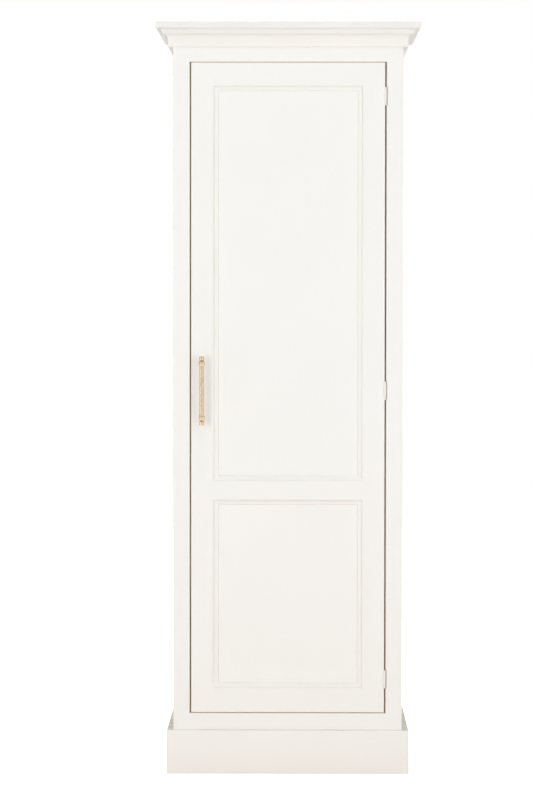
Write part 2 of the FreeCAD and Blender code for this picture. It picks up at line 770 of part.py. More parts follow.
def write_parts():
    """One file for each node; a group of separate pieces is kept together as one node."""
    os.makedirs("parts", exist_ok=True)
    for name, shape in nodes.items():
        if isinstance(shape, list):
            shape = Part.makeCompound(shape)
        shape.exportStep(os.path.join("parts", name + ".step"))
        state = "valid" if shape.isValid() else "INVALID"
        print(name, len(shape.Solids), "solids", round(shape.Volume), "mm3", state)
    print(len(nodes), "nodes")


build_carcass()
build_face_frame()
build_planted_runs("crown", crown_face, crown_projection)
build_planted_runs("plinth", plinth_face, plinth_thickness)
build_interior()
build_door_frame()
nodes["moulding_lower"] = moulding_strips(lower_panel_base, lower_panel_top)
nodes["moulding_upper"] = moulding_strips(upper_panel_base, upper_panel_top)
build_hinges()
build_handle()
build_stop_and_catch()
build_back_screws()
build_inner_screws()
write_parts()
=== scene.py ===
"""Looks of a tall painted wardrobe with one panelled door, a stepped crown and a brass bar handle."""
import logging
import math
from collections.abc import Callable, Iterable, Sequence
from dataclasses import dataclass
from enum import Enum

import bmesh
import bpy
from mathutils import Matrix, Vector
from mathutils.geometry import interpolate_bezier


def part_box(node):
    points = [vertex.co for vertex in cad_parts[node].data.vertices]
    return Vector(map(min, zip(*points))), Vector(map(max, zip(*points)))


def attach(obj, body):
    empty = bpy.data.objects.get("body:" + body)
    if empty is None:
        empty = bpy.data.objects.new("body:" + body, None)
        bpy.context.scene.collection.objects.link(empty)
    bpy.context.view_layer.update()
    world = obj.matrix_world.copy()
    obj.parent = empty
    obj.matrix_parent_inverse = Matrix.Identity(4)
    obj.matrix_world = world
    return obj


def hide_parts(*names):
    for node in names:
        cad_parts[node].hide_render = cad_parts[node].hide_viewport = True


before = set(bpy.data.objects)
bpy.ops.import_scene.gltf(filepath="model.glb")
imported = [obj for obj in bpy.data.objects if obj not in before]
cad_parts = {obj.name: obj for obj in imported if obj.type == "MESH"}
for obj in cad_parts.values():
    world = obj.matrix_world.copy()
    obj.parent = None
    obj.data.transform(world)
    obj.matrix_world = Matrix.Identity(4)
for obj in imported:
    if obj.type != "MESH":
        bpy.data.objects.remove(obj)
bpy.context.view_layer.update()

LOG = logging.getLogger("wardrobe")
# Vertex attribute for painted shade in recesses, on the brass cap's neck and the collar's ends.
RECESS_SHADE_MARK = "recess_shade_mark"

Colour = tuple[float, float, float]
Place = tuple[float, float, float]
Point = tuple[float, float]
Range = tuple[float, float]
Socket = bpy.types.NodeSocket
Sockets = bpy.types.bpy_prop_collection
Node = bpy.types.Node
Edge = bmesh.types.BMEdge
Pieces = list[bpy.types.Object]

WHITE: Colour = (1.0, 1.0, 1.0)

MM = 0.001
CUT_OVERRUN = 1.0 * MM
NEAR = 0.01 * MM
TOUCHING = 0.001 * MM
TURNED_WELD = 0.0005 * MM
CUT_WELD = 0.0001 * MM
LENGTHWISE_SHARE = 0.999
SMOOTH_ANGLE = math.radians(35)
ARRIS_ANGLE = math.radians(28)
FULL_TURN = math.radians(360)
GOLDEN_TURN = math.radians(137.5)

ACROSS = Vector((1, 0, 0))
DEEP = Vector((0, 1, 0))
RISE = Vector((0, 0, 1))


class Body(Enum):
    """Bodies of the frame that a piece can ride on."""

    CARCASS = "carcass"
    DOOR = "door"


class Slot(Enum):
    """Material slots of the record."""

    CREAM_PAINT = "cream_paint"
    RAW_TIMBER = "raw_timber"
    HINGE_PAINT = "hinge_paint"
    HANDLE_BRASS = "handle_brass"
    RAIL_CHROME = "rail_chrome"
    SCREW_STEEL = "screw_steel"
    CATCH_PLASTIC = "catch_plastic"


class Grain(Enum):
    """Way that the timber and the painter's brush run; the value stretches a pattern that way."""

    UPRIGHT = (1.0, 1.0, 0.025)
    ACROSS = (0.025, 1.0, 1.0)
    DEEP = (1.0, 0.025, 1.0)
    TURNED = (1.0, 1.0, 1.0)


class SocketKind(Enum):
    """Kinds of socket on a shared effect."""

    PLACE = "NodeSocketVector"
    COLOUR = "NodeSocketColor"
    NUMBER = "NodeSocketFloat"


class Joining(Enum):
    """Ways to work one shape with another."""

    UNION = "UNION"
    CUT = "DIFFERENCE"


def chip(red: int, green: int, blue: int) -> Colour:
    """Turns a colour chip, as read off a screen, into the renderer's linear colour.

    Args:
        red: Red level from 0 to 255.
        green: Green level from 0 to 255.
        blue: Blue level from 0 to 255.

    Returns:
        The linear colour.
    """

    def linear(level: int) -> float:
        """Linear share of one level."""
        share = level / 255
        return share / 12.92 if share <= 0.04045 else ((share + 0.055) / 1.055) ** 2.4

    return linear(red), linear(green), linear(blue)


class NodeSheet:
    """Adds nodes to one node tree and joins their sockets."""

    # Numbers of the colour sockets on a mix node, which shares its socket names between kinds.
    MIX_FIRST = 6
    MIX_SECOND = 7
    MIX_RESULT = 2

    def __init__(self, tree: bpy.types.NodeTree) -> None:
        """Takes over a tree and empties it."""
        self.tree = tree
        self.tree.nodes.clear()

    def feed(self, socket: Socket, value: object) -> None:
        """Links a socket to another, or sets its own value.

        Args:
            socket: The input to feed.
            value: Another socket, a number, a vector or a linear colour.
        """
        if isinstance(value, Socket):
            self.tree.links.new(value, socket)
        elif socket.type == "RGBA":
            socket.default_value = (*value, 1.0)
        else:
            socket.default_value = value

    def add(self, kind: str, inputs: dict[str | int, object] | None = None, **settings: object) -> Node:
        """Adds one node.

        Args:
            kind: The node's type.
            inputs: What to feed, by the input's name or number.
            settings: The node's own properties.

        Returns:
            The node.
        """
        node = self.tree.nodes.new(kind)
        for key, value in settings.items():
            setattr(node, key, value)
        for key, value in (inputs or {}).items():
            self.feed(node.inputs[key], value)
        return node

    def noise(self, place: Socket, scale: object, detail: float = 3.0) -> Socket:
        """Soft noise over a place, from 0 to 1, with so many blotches in a metre and so many finer layers."""
        return self.add("ShaderNodeTexNoise", {"Vector": place, "Scale": scale, "Detail": detail}).outputs[0]

    def span(self, value: Socket, low: float, high: float, start: float = 0.0, end: float = 1.0) -> Socket:
        """Stretches the range from low to high to the range from start to end, and clips it."""
        inputs = {"Value": value, "From Min": low, "From Max": high, "To Min": start, "To Max": end}
        return self.add("ShaderNodeMapRange", inputs).outputs["Result"]

    def maths(self, operation: str, first: object, second: object = 0.0) -> Socket:
        """One sum of two values."""
        return self.add("ShaderNodeMath", {0: first, 1: second}, operation=operation).outputs[0]

    def weigh(self, terms: Sequence[tuple[Socket, float]]) -> Socket:
        """Adds values, each by its weight.

        Args:
            terms: Pairs of a value and its weight.

        Returns:
            The weighted sum.
        """
        total = self.maths("MULTIPLY", terms[0][0], terms[0][1])
        for value, weight in terms[1:]:
            inputs = {0: value, 1: weight, 2: total}
            total = self.add("ShaderNodeMath", inputs, operation="MULTIPLY_ADD").outputs[0]
        return total

    def blend(self, share: object, first: object, second: object) -> Socket:
        """Mixes two colours, the first at a share of 0 and the second at a share of 1."""
        inputs = {0: share, self.MIX_FIRST: first, self.MIX_SECOND: second}
        return self.add("ShaderNodeMix", inputs, data_type="RGBA").outputs[self.MIX_RESULT]

    def group(self, tree: bpy.types.NodeTree, inputs: dict[str, object]) -> Node:
        """Places a shared effect and feeds its inputs by their names."""
        return self.add("ShaderNodeGroup", inputs, node_tree=tree)


@dataclass(frozen=True)
class DoorGap:
    """Band round the door, from the edge of the door to a little past the edge of the frame."""

    middle: Vector
    door_half: Vector
    frame_half: Vector
    face_y: float
    back_y: float
    into_door: float = 0.3 * MM
    into_frame: float = 3.1 * MM
    fade: float = 0.1 * MM
    start: float = 0.05 * MM
    full: float = 0.45 * MM
    # Width and strength of the painted shade band on the frame's front arris.
    arris_shade_band: float = 1.2 * MM
    arris_shade_share: float = 0.4

    @classmethod
    def measured(cls) -> "DoorGap":
        """Reads the gap off the frame.

        Returns:
            The gap.
        """
        door_low, lock_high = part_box("door_stile_lock")
        door_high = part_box("door_stile_hinge")[1]
        opening_low = Vector((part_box("frame_stile_left")[1].x, 0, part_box("frame_rail_bottom")[1].z))
        opening_high = Vector((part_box("frame_stile_right")[0].x, 0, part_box("frame_rail_top")[0].z))
        return cls(
            middle=(door_low + door_high) / 2,
            door_half=(door_high - door_low) / 2,
            frame_half=(opening_high - opening_low) / 2,
            face_y=door_low.y,
            back_y=lock_high.y,
        )


@dataclass
class SharedEffects:
    """Node groups that several finishes use, each built once; scales are in blotches a metre."""

    middle_range: Range = (0.3, 0.7)
    mottle_scale: float = 4.5
    stroke_scale: float = 190.0
    bristle_scale: float = 1150.0
    peel_scale: float = 620.0
    gap_patch_scale: float = 160.0
    # Patches in the door gap's painted shade.
    gap_patch_range: Range = (0.25, 0.6)
    gap_patch_least: float = 0.7
    # Dust patches; on the plinth's ledges the dust stands for painted shade too.
    dust_and_shade_scale: float = 14.0
    dust_and_shade_range: Range = (0.35, 0.7)
    dust_and_shade_least: float = 0.5
    upward_range: Range = (0.8, 0.98)
    cloud_scale: float = 55.0
    cloud_range: Range = (0.3, 0.72)
    speck_scale: float = 1600.0
    line_range: Range = (0.32, 0.68)
    ring_scale: float = 34.0
    ring_waver: float = 5.0
    ring_detail_scale: float = 1.6
    ring_range: Range = (0.45, 0.95)
    pore_scale: float = 900.0
    pore_range: Range = (0.5, 0.75)
    timber_smooth: float = 0.58
    timber_rough: float = 0.78

    def __post_init__(self) -> None:
        """Builds every group."""
        self.gap_shade_and_thin_paint = self._build_gap_shade_and_thin_paint(DoorGap.measured())
        self.paint_film = self._build_paint_film()
        self.dust_and_ledge_shade = self._build_dust_and_ledge_shade()
        self.fine_scuffs = self._build_fine_scuffs()
        self.timber_grain = self._build_timber_grain()

    @staticmethod
    def _open(
        name: str, inputs: dict[str, SocketKind], outputs: dict[str, SocketKind]
    ) -> tuple[NodeSheet, Sockets, Sockets]:
        """Starts a group with its sockets.

        Args:
            name: The group's name.
            inputs: Kind of each input by its name.
            outputs: Kind of each output by its name.

        Returns:
            The sheet, the sockets that bring in what is given and those that take the results.
        """
        tree = bpy.data.node_groups.new(name, "ShaderNodeTree")
        for label, kind in inputs.items():
            tree.interface.new_socket(name=label, in_out="INPUT", socket_type=kind.value)
        for label, kind in outputs.items():
            tree.interface.new_socket(name=label, in_out="OUTPUT", socket_type=kind.value)
        sheet = NodeSheet(tree)
        return sheet, sheet.add("NodeGroupInput").outputs, sheet.add("NodeGroupOutput").inputs

    def _build_paint_film(self) -> bpy.types.NodeTree:
        """Brushed paint: long strokes with fine bristle lines, a slight mottle and a faint orange peel.

        Returns:
            The group.
        """
        inputs = {
            "Place": SocketKind.PLACE,
            "Brush Place": SocketKind.PLACE,
            "Film": SocketKind.COLOUR,
            "Shade": SocketKind.COLOUR,
            "Smooth": SocketKind.NUMBER,
            "Rough": SocketKind.NUMBER,
        }
        outputs = {"Colour": SocketKind.COLOUR, "Roughness": SocketKind.NUMBER, "Height": SocketKind.NUMBER}
        sheet, given, taken = self._open("paint_film", inputs, outputs)
        place, brush_place = given["Place"], given["Brush Place"]
        mottle = sheet.span(sheet.noise(place, self.mottle_scale), *self.middle_range)
        strokes = sheet.span(sheet.noise(brush_place, self.stroke_scale, detail=4.0), *self.middle_range)
        bristles = sheet.noise(brush_place, self.bristle_scale, detail=2.0)
        peel = sheet.noise(place, self.peel_scale, detail=2.0)
        tone = sheet.weigh([(mottle, 0.55), (strokes, 0.3), (peel, 0.15)])
        sheet.feed(taken["Colour"], sheet.blend(tone, given["Film"], given["Shade"]))
        sheen = sheet.weigh([(strokes, 0.5), (mottle, 0.3), (bristles, 0.2)])
        spread = sheet.maths("SUBTRACT", given["Rough"], given["Smooth"])
        scaled = sheet.maths("MULTIPLY", sheen, spread)
        sheet.feed(taken["Roughness"], sheet.maths("ADD", scaled, given["Smooth"]))
        sheet.feed(taken["Height"], sheet.weigh([(strokes, 0.5), (bristles, 0.3), (peel, 0.2)]))
        return sheet.tree

    def _build_gap_shade_and_thin_paint(self, gap: DoorGap) -> bpy.types.NodeTree:
        """Painted shade in the door gap, a brown that also stands for thin paint where the timber shows.

        Args:
            gap: Where the gap lies.

        Returns:
            The group.
        """
        inputs = {"Place": SocketKind.PLACE}
        sheet, given, taken = self._open("gap_shade_and_thin_paint", inputs, {"Mask": SocketKind.NUMBER})
        place = given["Place"]
        moved = sheet.add("ShaderNodeVectorMath", {0: place, 1: gap.middle}, operation="SUBTRACT").outputs[0]
        spread = sheet.add("ShaderNodeVectorMath", {0: moved}, operation="ABSOLUTE").outputs[0]
        ways = sheet.add("ShaderNodeSeparateXYZ", {"Vector": spread}).outputs

        def past(half: Vector) -> Socket:
            """How far a place lies outside a rectangle of that half size."""
            beside = sheet.maths("SUBTRACT", ways["X"], half.x)
            return sheet.maths("MAXIMUM", beside, sheet.maths("SUBTRACT", ways["Z"], half.z))

        past_frame = past(gap.frame_half)
        off_door = sheet.span(past(gap.door_half), -gap.into_door - gap.fade, -gap.into_door)
        in_frame = sheet.span(past_frame, gap.into_frame, gap.into_frame + gap.fade, 1.0, 0.0)
        depth = sheet.add("ShaderNodeSeparateXYZ", {"Vector": place}).outputs["Y"]
        behind = sheet.span(depth, gap.face_y + gap.start, gap.face_y + gap.full)
        before = sheet.span(depth, gap.back_y + gap.start, gap.back_y + gap.full, 1.0, 0.0)
        # Inside the gap: painted shade, standing also for thin paint over the timber.
        band = sheet.maths("MULTIPLY", off_door, in_frame)
        deep = sheet.maths("MULTIPLY", behind, before)
        # Painted shade on the front of the frame's rounded arris beside the opening.
        off_frame = sheet.span(past_frame, -gap.fade, 0.0)
        arris_shade_band = sheet.span(past_frame, gap.arris_shade_band, 2 * gap.arris_shade_band, gap.arris_shade_share, 0.0)
        corner = sheet.maths("MULTIPLY", sheet.maths("MULTIPLY", off_frame, arris_shade_band), before)
        bare = sheet.maths("MAXIMUM", sheet.maths("MULTIPLY", band, deep), corner)
        # Noise breaks the painted shade and thin paint into patches.
        patches = sheet.noise(place, self.gap_patch_scale, detail=4.0)
        patchy = sheet.span(patches, *self.gap_patch_range, self.gap_patch_least, 1.0)
        sheet.feed(taken["Mask"], sheet.maths("MULTIPLY", bare, patchy))
        return sheet.tree

    def _build_dust_and_ledge_shade(self) -> bpy.types.NodeTree:
        """Dust on what faces up, in soft patches; at the plinth's high amounts it is painted shade on the
        ledges.

        Returns:
            The group.
        """
        inputs = {"Place": SocketKind.PLACE, "Amount": SocketKind.NUMBER}
        sheet, given, taken = self._open("dust_and_ledge_shade", inputs, {"Mask": SocketKind.NUMBER})
        facing = sheet.add("ShaderNodeNewGeometry").outputs["Normal"]
        level = sheet.add("ShaderNodeSeparateXYZ", {"Vector": facing}).outputs["Z"]
        upward = sheet.span(level, *self.upward_range)
        patch_noise = sheet.noise(given["Place"], self.dust_and_shade_scale, detail=5.0)
        patches = sheet.span(patch_noise, *self.dust_and_shade_range, self.dust_and_shade_least, 1.0)
        settled = sheet.maths("MULTIPLY", upward, patches)
        sheet.feed(taken["Mask"], sheet.maths("MULTIPLY", settled, given["Amount"]))
        return sheet.tree

    def _build_fine_scuffs(self) -> bpy.types.NodeTree:
        """Fine drawn lines and cloudy handling marks on metal and plastic.

        Returns:
            The group.
        """
        inputs = {
            "Place": SocketKind.PLACE,
            "Drawn Place": SocketKind.PLACE,
            "Line Scale": SocketKind.NUMBER,
        }
        outputs = {"Lines": SocketKind.NUMBER, "Clouds": SocketKind.NUMBER, "Height": SocketKind.NUMBER}
        sheet, given, taken = self._open("fine_scuffs", inputs, outputs)
        lines = sheet.noise(given["Drawn Place"], given["Line Scale"])
        place = given["Place"]
        clouds = sheet.span(sheet.noise(place, self.cloud_scale, detail=4.0), *self.cloud_range)
        specks = sheet.noise(place, self.speck_scale, detail=2.0)
        sheet.feed(taken["Lines"], sheet.span(lines, *self.line_range))
        sheet.feed(taken["Clouds"], clouds)
        sheet.feed(taken["Height"], sheet.weigh([(lines, 0.8), (specks, 0.2)]))
        return sheet.tree

    def _build_timber_grain(self) -> bpy.types.NodeTree:
        """Growth lines of planed softwood with fine pores.

        Returns:
            The group.
        """
        inputs = {
            "Grain Place": SocketKind.PLACE,
            "Early Wood": SocketKind.COLOUR,
            "Late Wood": SocketKind.COLOUR,
        }
        outputs = {"Colour": SocketKind.COLOUR, "Roughness": SocketKind.NUMBER, "Height": SocketKind.NUMBER}
        sheet, given, taken = self._open("timber_grain", inputs, outputs)
        place = given["Grain Place"]
        waves = {
            "Vector": place,
            "Scale": self.ring_scale,
            "Distortion": self.ring_waver,
            "Detail": 3.0,
            "Detail Scale": self.ring_detail_scale,
        }
        rings = sheet.add("ShaderNodeTexWave", waves, wave_type="RINGS").outputs["Fac"]
        pores = sheet.noise(place, self.pore_scale)
        growth = sheet.span(rings, *self.ring_range)
        late = sheet.weigh([(growth, 0.7), (sheet.span(pores, *self.pore_range), 0.3)])
        colour = sheet.blend(late, given["Early Wood"], given["Late Wood"])
        sheet.feed(taken["Colour"], colour)
        roughness = sheet.span(pores, *self.middle_range, self.timber_smooth, self.timber_rough)
        sheet.feed(taken["Roughness"], roughness)
        sheet.feed(taken["Height"], sheet.weigh([(rings, 0.4), (pores, 0.6)]))
        return sheet.tree


@dataclass(frozen=True)
class Finish:
    """What every finish has: its name, the record's slot and the way that its pattern runs."""

    name: str
    slot: Slot
    grain: Grain

    def places(self, sheet: NodeSheet) -> tuple[Socket, Socket]:
        """Coordinates on a piece.

        Args:
            sheet: The material's nodes.

        Returns:
            The plain place, and the place stretched along the grain.
        """
        place = sheet.add("ShaderNodeTexCoord").outputs["Object"]
        along = sheet.add("ShaderNodeMapping", {"Vector": place, "Scale": self.grain.value}).outputs["Vector"]
        return place, along

    def relief(self, sheet: NodeSheet, shader: Node, height: Socket, depth: float) -> None:
        """Raises the shader's surface by a pattern of that depth in metres."""
        bump = sheet.add("ShaderNodeBump", {"Height": height, "Distance": depth, "Strength": 1.0})
        sheet.feed(shader.inputs["Normal"], bump.outputs["Normal"])

    def wire(self, sheet: NodeSheet, shader: Node, effects: SharedEffects) -> None:
        """Wires the finish to the shader; each kind of finish has its own way."""
        raise NotImplementedError


@dataclass(frozen=True)
class PaintFinish(Finish):
    """Paint with a soft sheen, brushed on by hand."""

    film: Colour = chip(248, 247, 244)
    shade: Colour = chip(246, 245, 242)
    # Dust colour; where a finish lays it on thickly, as on the plinth, it is painted shade.
    dust_and_shade: Colour = chip(205, 197, 183)
    # Tan of thin paint over timber, used also as painted shade in the door gap.
    thin_paint_and_shade: Colour = chip(216, 190, 152)
    dust_and_shade_amount: float = 0.2
    smooth: float = 0.6
    rough: float = 0.7
    gloss: float = 0.2
    dust_and_shade_roughness: float = 0.6
    stroke_depth: float = 0.012 * MM
    thin_paint_and_gap_shade: bool = False

    def wire(self, sheet: NodeSheet, shader: Node, effects: SharedEffects) -> None:
        """Wires brush strokes, dust that on the plinth's ledges is painted shade and, where a piece has them,
        edges with painted shade in the door gap.

        Args:
            sheet: The material's nodes.
            shader: The shader to feed.
            effects: The shared effects.
        """
        place, along = self.places(sheet)
        inputs = {"Place": place, "Brush Place": along, "Film": self.film, "Shade": self.shade}
        film = sheet.group(effects.paint_film, {**inputs, "Smooth": self.smooth, "Rough": self.rough})
        dust_and_shade = sheet.group(effects.dust_and_ledge_shade, {"Place": place, "Amount": self.dust_and_shade_amount})
        mask = dust_and_shade.outputs["Mask"]
        colour = sheet.blend(mask, film.outputs["Colour"], self.dust_and_shade)
        # Painted shade in the door gap, standing also for thin paint on the edges.
        if self.thin_paint_and_gap_shade:
            edges = sheet.group(effects.gap_shade_and_thin_paint, {"Place": place}).outputs["Mask"]
            colour = sheet.blend(edges, colour, self.thin_paint_and_shade)
        sheet.feed(shader.inputs["Base Color"], colour)
        roughness = sheet.weigh([(film.outputs["Roughness"], 1.0), (mask, self.dust_and_shade_roughness)])
        sheet.feed(shader.inputs["Roughness"], roughness)
        shader.inputs["Specular IOR Level"].default_value = self.gloss
        self.relief(sheet, shader, film.outputs["Height"], self.stroke_depth)


@dataclass(frozen=True)
class MetalFinish(Finish):
    """Bare or plated metal with drawn lines and handling marks."""

    bright: Colour = chip(226, 226, 224)
    dull: Colour = chip(196, 196, 192)
    # Colour of the painted shade in marked recesses.
    recess: Colour = chip(150, 150, 146)
    smooth: float = 0.16
    rough: float = 0.3
    line_scale: float = 900.0
    line_depth: float = 0.006 * MM
    cloud_share: float = 0.6
    worn_range: Range = (0.1, 0.9)
    recess_shade_marks: bool = False

    def wire(self, sheet: NodeSheet, shader: Node, effects: SharedEffects) -> None:
        """Wires drawn lines, clouds and, where a piece marks them, painted shade in the recesses.

        Args:
            sheet: The material's nodes.
            shader: The shader to feed.
            effects: The shared effects.
        """
        place, along = self.places(sheet)
        inputs = {"Place": place, "Drawn Place": along, "Line Scale": self.line_scale}
        scuffs = sheet.group(effects.fine_scuffs, inputs)
        clouds, lines = scuffs.outputs["Clouds"], scuffs.outputs["Lines"]
        patchy = sheet.weigh([(clouds, self.cloud_share), (lines, 1 - self.cloud_share)])
        colour = sheet.blend(patchy, self.bright, self.dull)
        if self.recess_shade_marks:
            marks = sheet.add("ShaderNodeAttribute", attribute_name=RECESS_SHADE_MARK).outputs["Fac"]
            colour = sheet.blend(marks, colour, self.recess)
        sheet.feed(shader.inputs["Base Color"], colour)
        roughness = sheet.span(patchy, *self.worn_range, self.smooth, self.rough)
        sheet.feed(shader.inputs["Roughness"], roughness)
        shader.inputs["Metallic"].default_value = 1.0
        self.relief(sheet, shader, scuffs.outputs["Height"], self.line_depth)


@dataclass(frozen=True)
class TimberFinish(Finish):
    """Planed softwood without a coat."""

    early: Colour = chip(221, 196, 156)
    late: Colour = chip(186, 148, 101)
    grain_depth: float = 0.08 * MM

    def wire(self, sheet: NodeSheet, shader: Node, effects: SharedEffects) -> None:
        """Wires growth lines and pores.

        Args:
            sheet: The material's nodes.
            shader: The shader to feed.
            effects: The shared effects.
        """
        along = self.places(sheet)[1]
        inputs = {"Grain Place": along, "Early Wood": self.early, "Late Wood": self.late}
        grain = sheet.group(effects.timber_grain, inputs)
        sheet.feed(shader.inputs["Base Color"], grain.outputs["Colour"])
        sheet.feed(shader.inputs["Roughness"], grain.outputs["Roughness"])
        self.relief(sheet, shader, grain.outputs["Height"], self.grain_depth)


@dataclass(frozen=True)
class MouldedFinish(Finish):
    """Moulded plastic, or a pressed magnet, with a fine even texture."""

    clean: Colour = chip(236, 234, 227)
    handled: Colour = chip(222, 218, 208)
    smooth: float = 0.42
    rough: float = 0.6
    line_scale: float = 1400.0
    texture_depth: float = 0.02 * MM

    def wire(self, sheet: NodeSheet, shader: Node, effects: SharedEffects) -> None:
        """Wires the texture and its handling marks.

        Args:
            sheet: The material's nodes.
            shader: The shader to feed.
            effects: The shared effects.
        """
        place, along = self.places(sheet)
        inputs = {"Place": place, "Drawn Place": along, "Line Scale": self.line_scale}
        scuffs = sheet.group(effects.fine_scuffs, inputs)
        clouds = scuffs.outputs["Clouds"]
        sheet.feed(shader.inputs["Base Color"], sheet.blend(clouds, self.clean, self.handled))
        sheet.feed(shader.inputs["Roughness"], sheet.span(clouds, 0.0, 1.0, self.smooth, self.rough))
        self.relief(sheet, shader, scuffs.outputs["Height"], self.texture_depth)


PAINT_UPRIGHT = PaintFinish("cream_paint_upright", Slot.CREAM_PAINT, Grain.UPRIGHT)
PAINT_ACROSS = PaintFinish("cream_paint_across", Slot.CREAM_PAINT, Grain.ACROSS)
PAINT_DEEP = PaintFinish("cream_paint_deep", Slot.CREAM_PAINT, Grain.DEEP)
# The crown's paint is a little darker and warmer: painted shade for the crown's shading.
CROWN_SHADED_FILM = chip(246, 244, 239)
CROWN_SHADED_TINT = chip(243, 241, 236)
CROWN_SHADED_ACROSS = PaintFinish(
    "cream_crown_shaded_across", Slot.CREAM_PAINT, Grain.ACROSS, film=CROWN_SHADED_FILM, shade=CROWN_SHADED_TINT
)
CROWN_SHADED_DEEP = PaintFinish("cream_crown_shaded_deep", Slot.CREAM_PAINT, Grain.DEEP, film=CROWN_SHADED_FILM, shade=CROWN_SHADED_TINT)
# The mouldings' paint is darker: painted shade on the moulding's slopes and quirks.
PAINT_MOULDING_SHADED = PaintFinish(
    "cream_moulding_shaded", Slot.CREAM_PAINT, Grain.UPRIGHT, film=chip(245, 243, 239), shade=chip(242, 240, 236)
)
# The plinth's high dust amounts are painted shade on its front and side ledges.
PLINTH_LEDGE_SHADE_ACROSS = PaintFinish("cream_plinth_ledge_shade_across", Slot.CREAM_PAINT, Grain.ACROSS, dust_and_shade_amount=0.62)
PLINTH_LEDGE_SHADE_DEEP = PaintFinish("cream_plinth_ledge_shade_deep", Slot.CREAM_PAINT, Grain.DEEP, dust_and_shade_amount=0.95)
# Framing paint carries painted shade in the door gap, also standing for thin paint.
FRAMING_UPRIGHT = PaintFinish("cream_framing_upright", Slot.CREAM_PAINT, Grain.UPRIGHT, thin_paint_and_gap_shade=True)
FRAMING_ACROSS = PaintFinish("cream_framing_across", Slot.CREAM_PAINT, Grain.ACROSS, thin_paint_and_gap_shade=True)
PAINT_HINGE = PaintFinish(
    "cream_paint_hinge", Slot.HINGE_PAINT, Grain.UPRIGHT, smooth=0.3, rough=0.42, stroke_depth=0.02 * MM
)
TIMBER_UPRIGHT = TimberFinish("softwood_upright", Slot.RAW_TIMBER, Grain.UPRIGHT)
TIMBER_ACROSS = TimberFinish("softwood_across", Slot.RAW_TIMBER, Grain.ACROSS)
BRASS = MetalFinish(
    "pale_brass",
    Slot.HANDLE_BRASS,
    Grain.UPRIGHT,
    bright=chip(206, 187, 159),
    dull=chip(196, 176, 147),
    # Painted shade on the handle's neck and collar ends.
    recess=chip(150, 112, 80),
    smooth=0.22,
    rough=0.28,
    line_depth=0.001 * MM,
    recess_shade_marks=True,
)
CHROME = MetalFinish(
    "rail_chrome",
    Slot.RAIL_CHROME,
    Grain.ACROSS,
    bright=chip(218, 220, 222),
    dull=chip(204, 206, 208),
    smooth=0.06,
    rough=0.14,
)
ZINC = MetalFinish(
    "zinc_screw",
    Slot.SCREW_STEEL,
    Grain.TURNED,
    bright=chip(205, 205, 200),
    dull=chip(178, 177, 170),
    smooth=0.26,
    rough=0.42,
)
CATCH_PLASTIC = MouldedFinish("catch_plastic", Slot.CATCH_PLASTIC, Grain.TURNED)
CATCH_FERRITE = MouldedFinish(
    "catch_ferrite", Slot.SCREW_STEEL, Grain.TURNED, clean=chip(58, 57, 56), handled=chip(78, 76, 74)
)


class FinishRack:
    """Makes each finish's material once and hands it out."""

    def __init__(self) -> None:
        """Builds the shared effects and starts with no materials."""
        self.effects = SharedEffects()
        self._made: dict[str, bpy.types.Material] = {}

    def material(self, finish: Finish) -> bpy.types.Material:
        """Material of a finish.

        Args:
            finish: The finish.

        Returns:
            Its material, made on the first call.
        """
        if finish.name not in self._made:
            material = bpy.data.materials.new(finish.name)
            material.use_nodes = True
            sheet = NodeSheet(material.node_tree)
            shader = sheet.add("ShaderNodeBsdfPrincipled")
            sheet.add("ShaderNodeOutputMaterial", {"Surface": shader.outputs[0]})
            finish.wire(sheet, shader, self.effects)
            self._made[finish.name] = material
        return self._made[finish.name]


def bend(start: Point, corner: Point, end: Point, steps: int) -> list[Point]:
    """Curve that leaves one point towards a corner and comes to the other from it.

    Args:
        start: First point.
        corner: Point that both ends aim at.
        end: Last point.
        steps: How many points the curve has.

    Returns:
        The points, both ends included.
    """
    first, middle, last = (Vector((*point, 0)) for point in (start, corner, end))
    pull = 2 / 3
    knots = interpolate_bezier(first, first.lerp(middle, pull), last.lerp(middle, pull), last, steps)
    return [(knot.x, knot.y) for knot in knots]


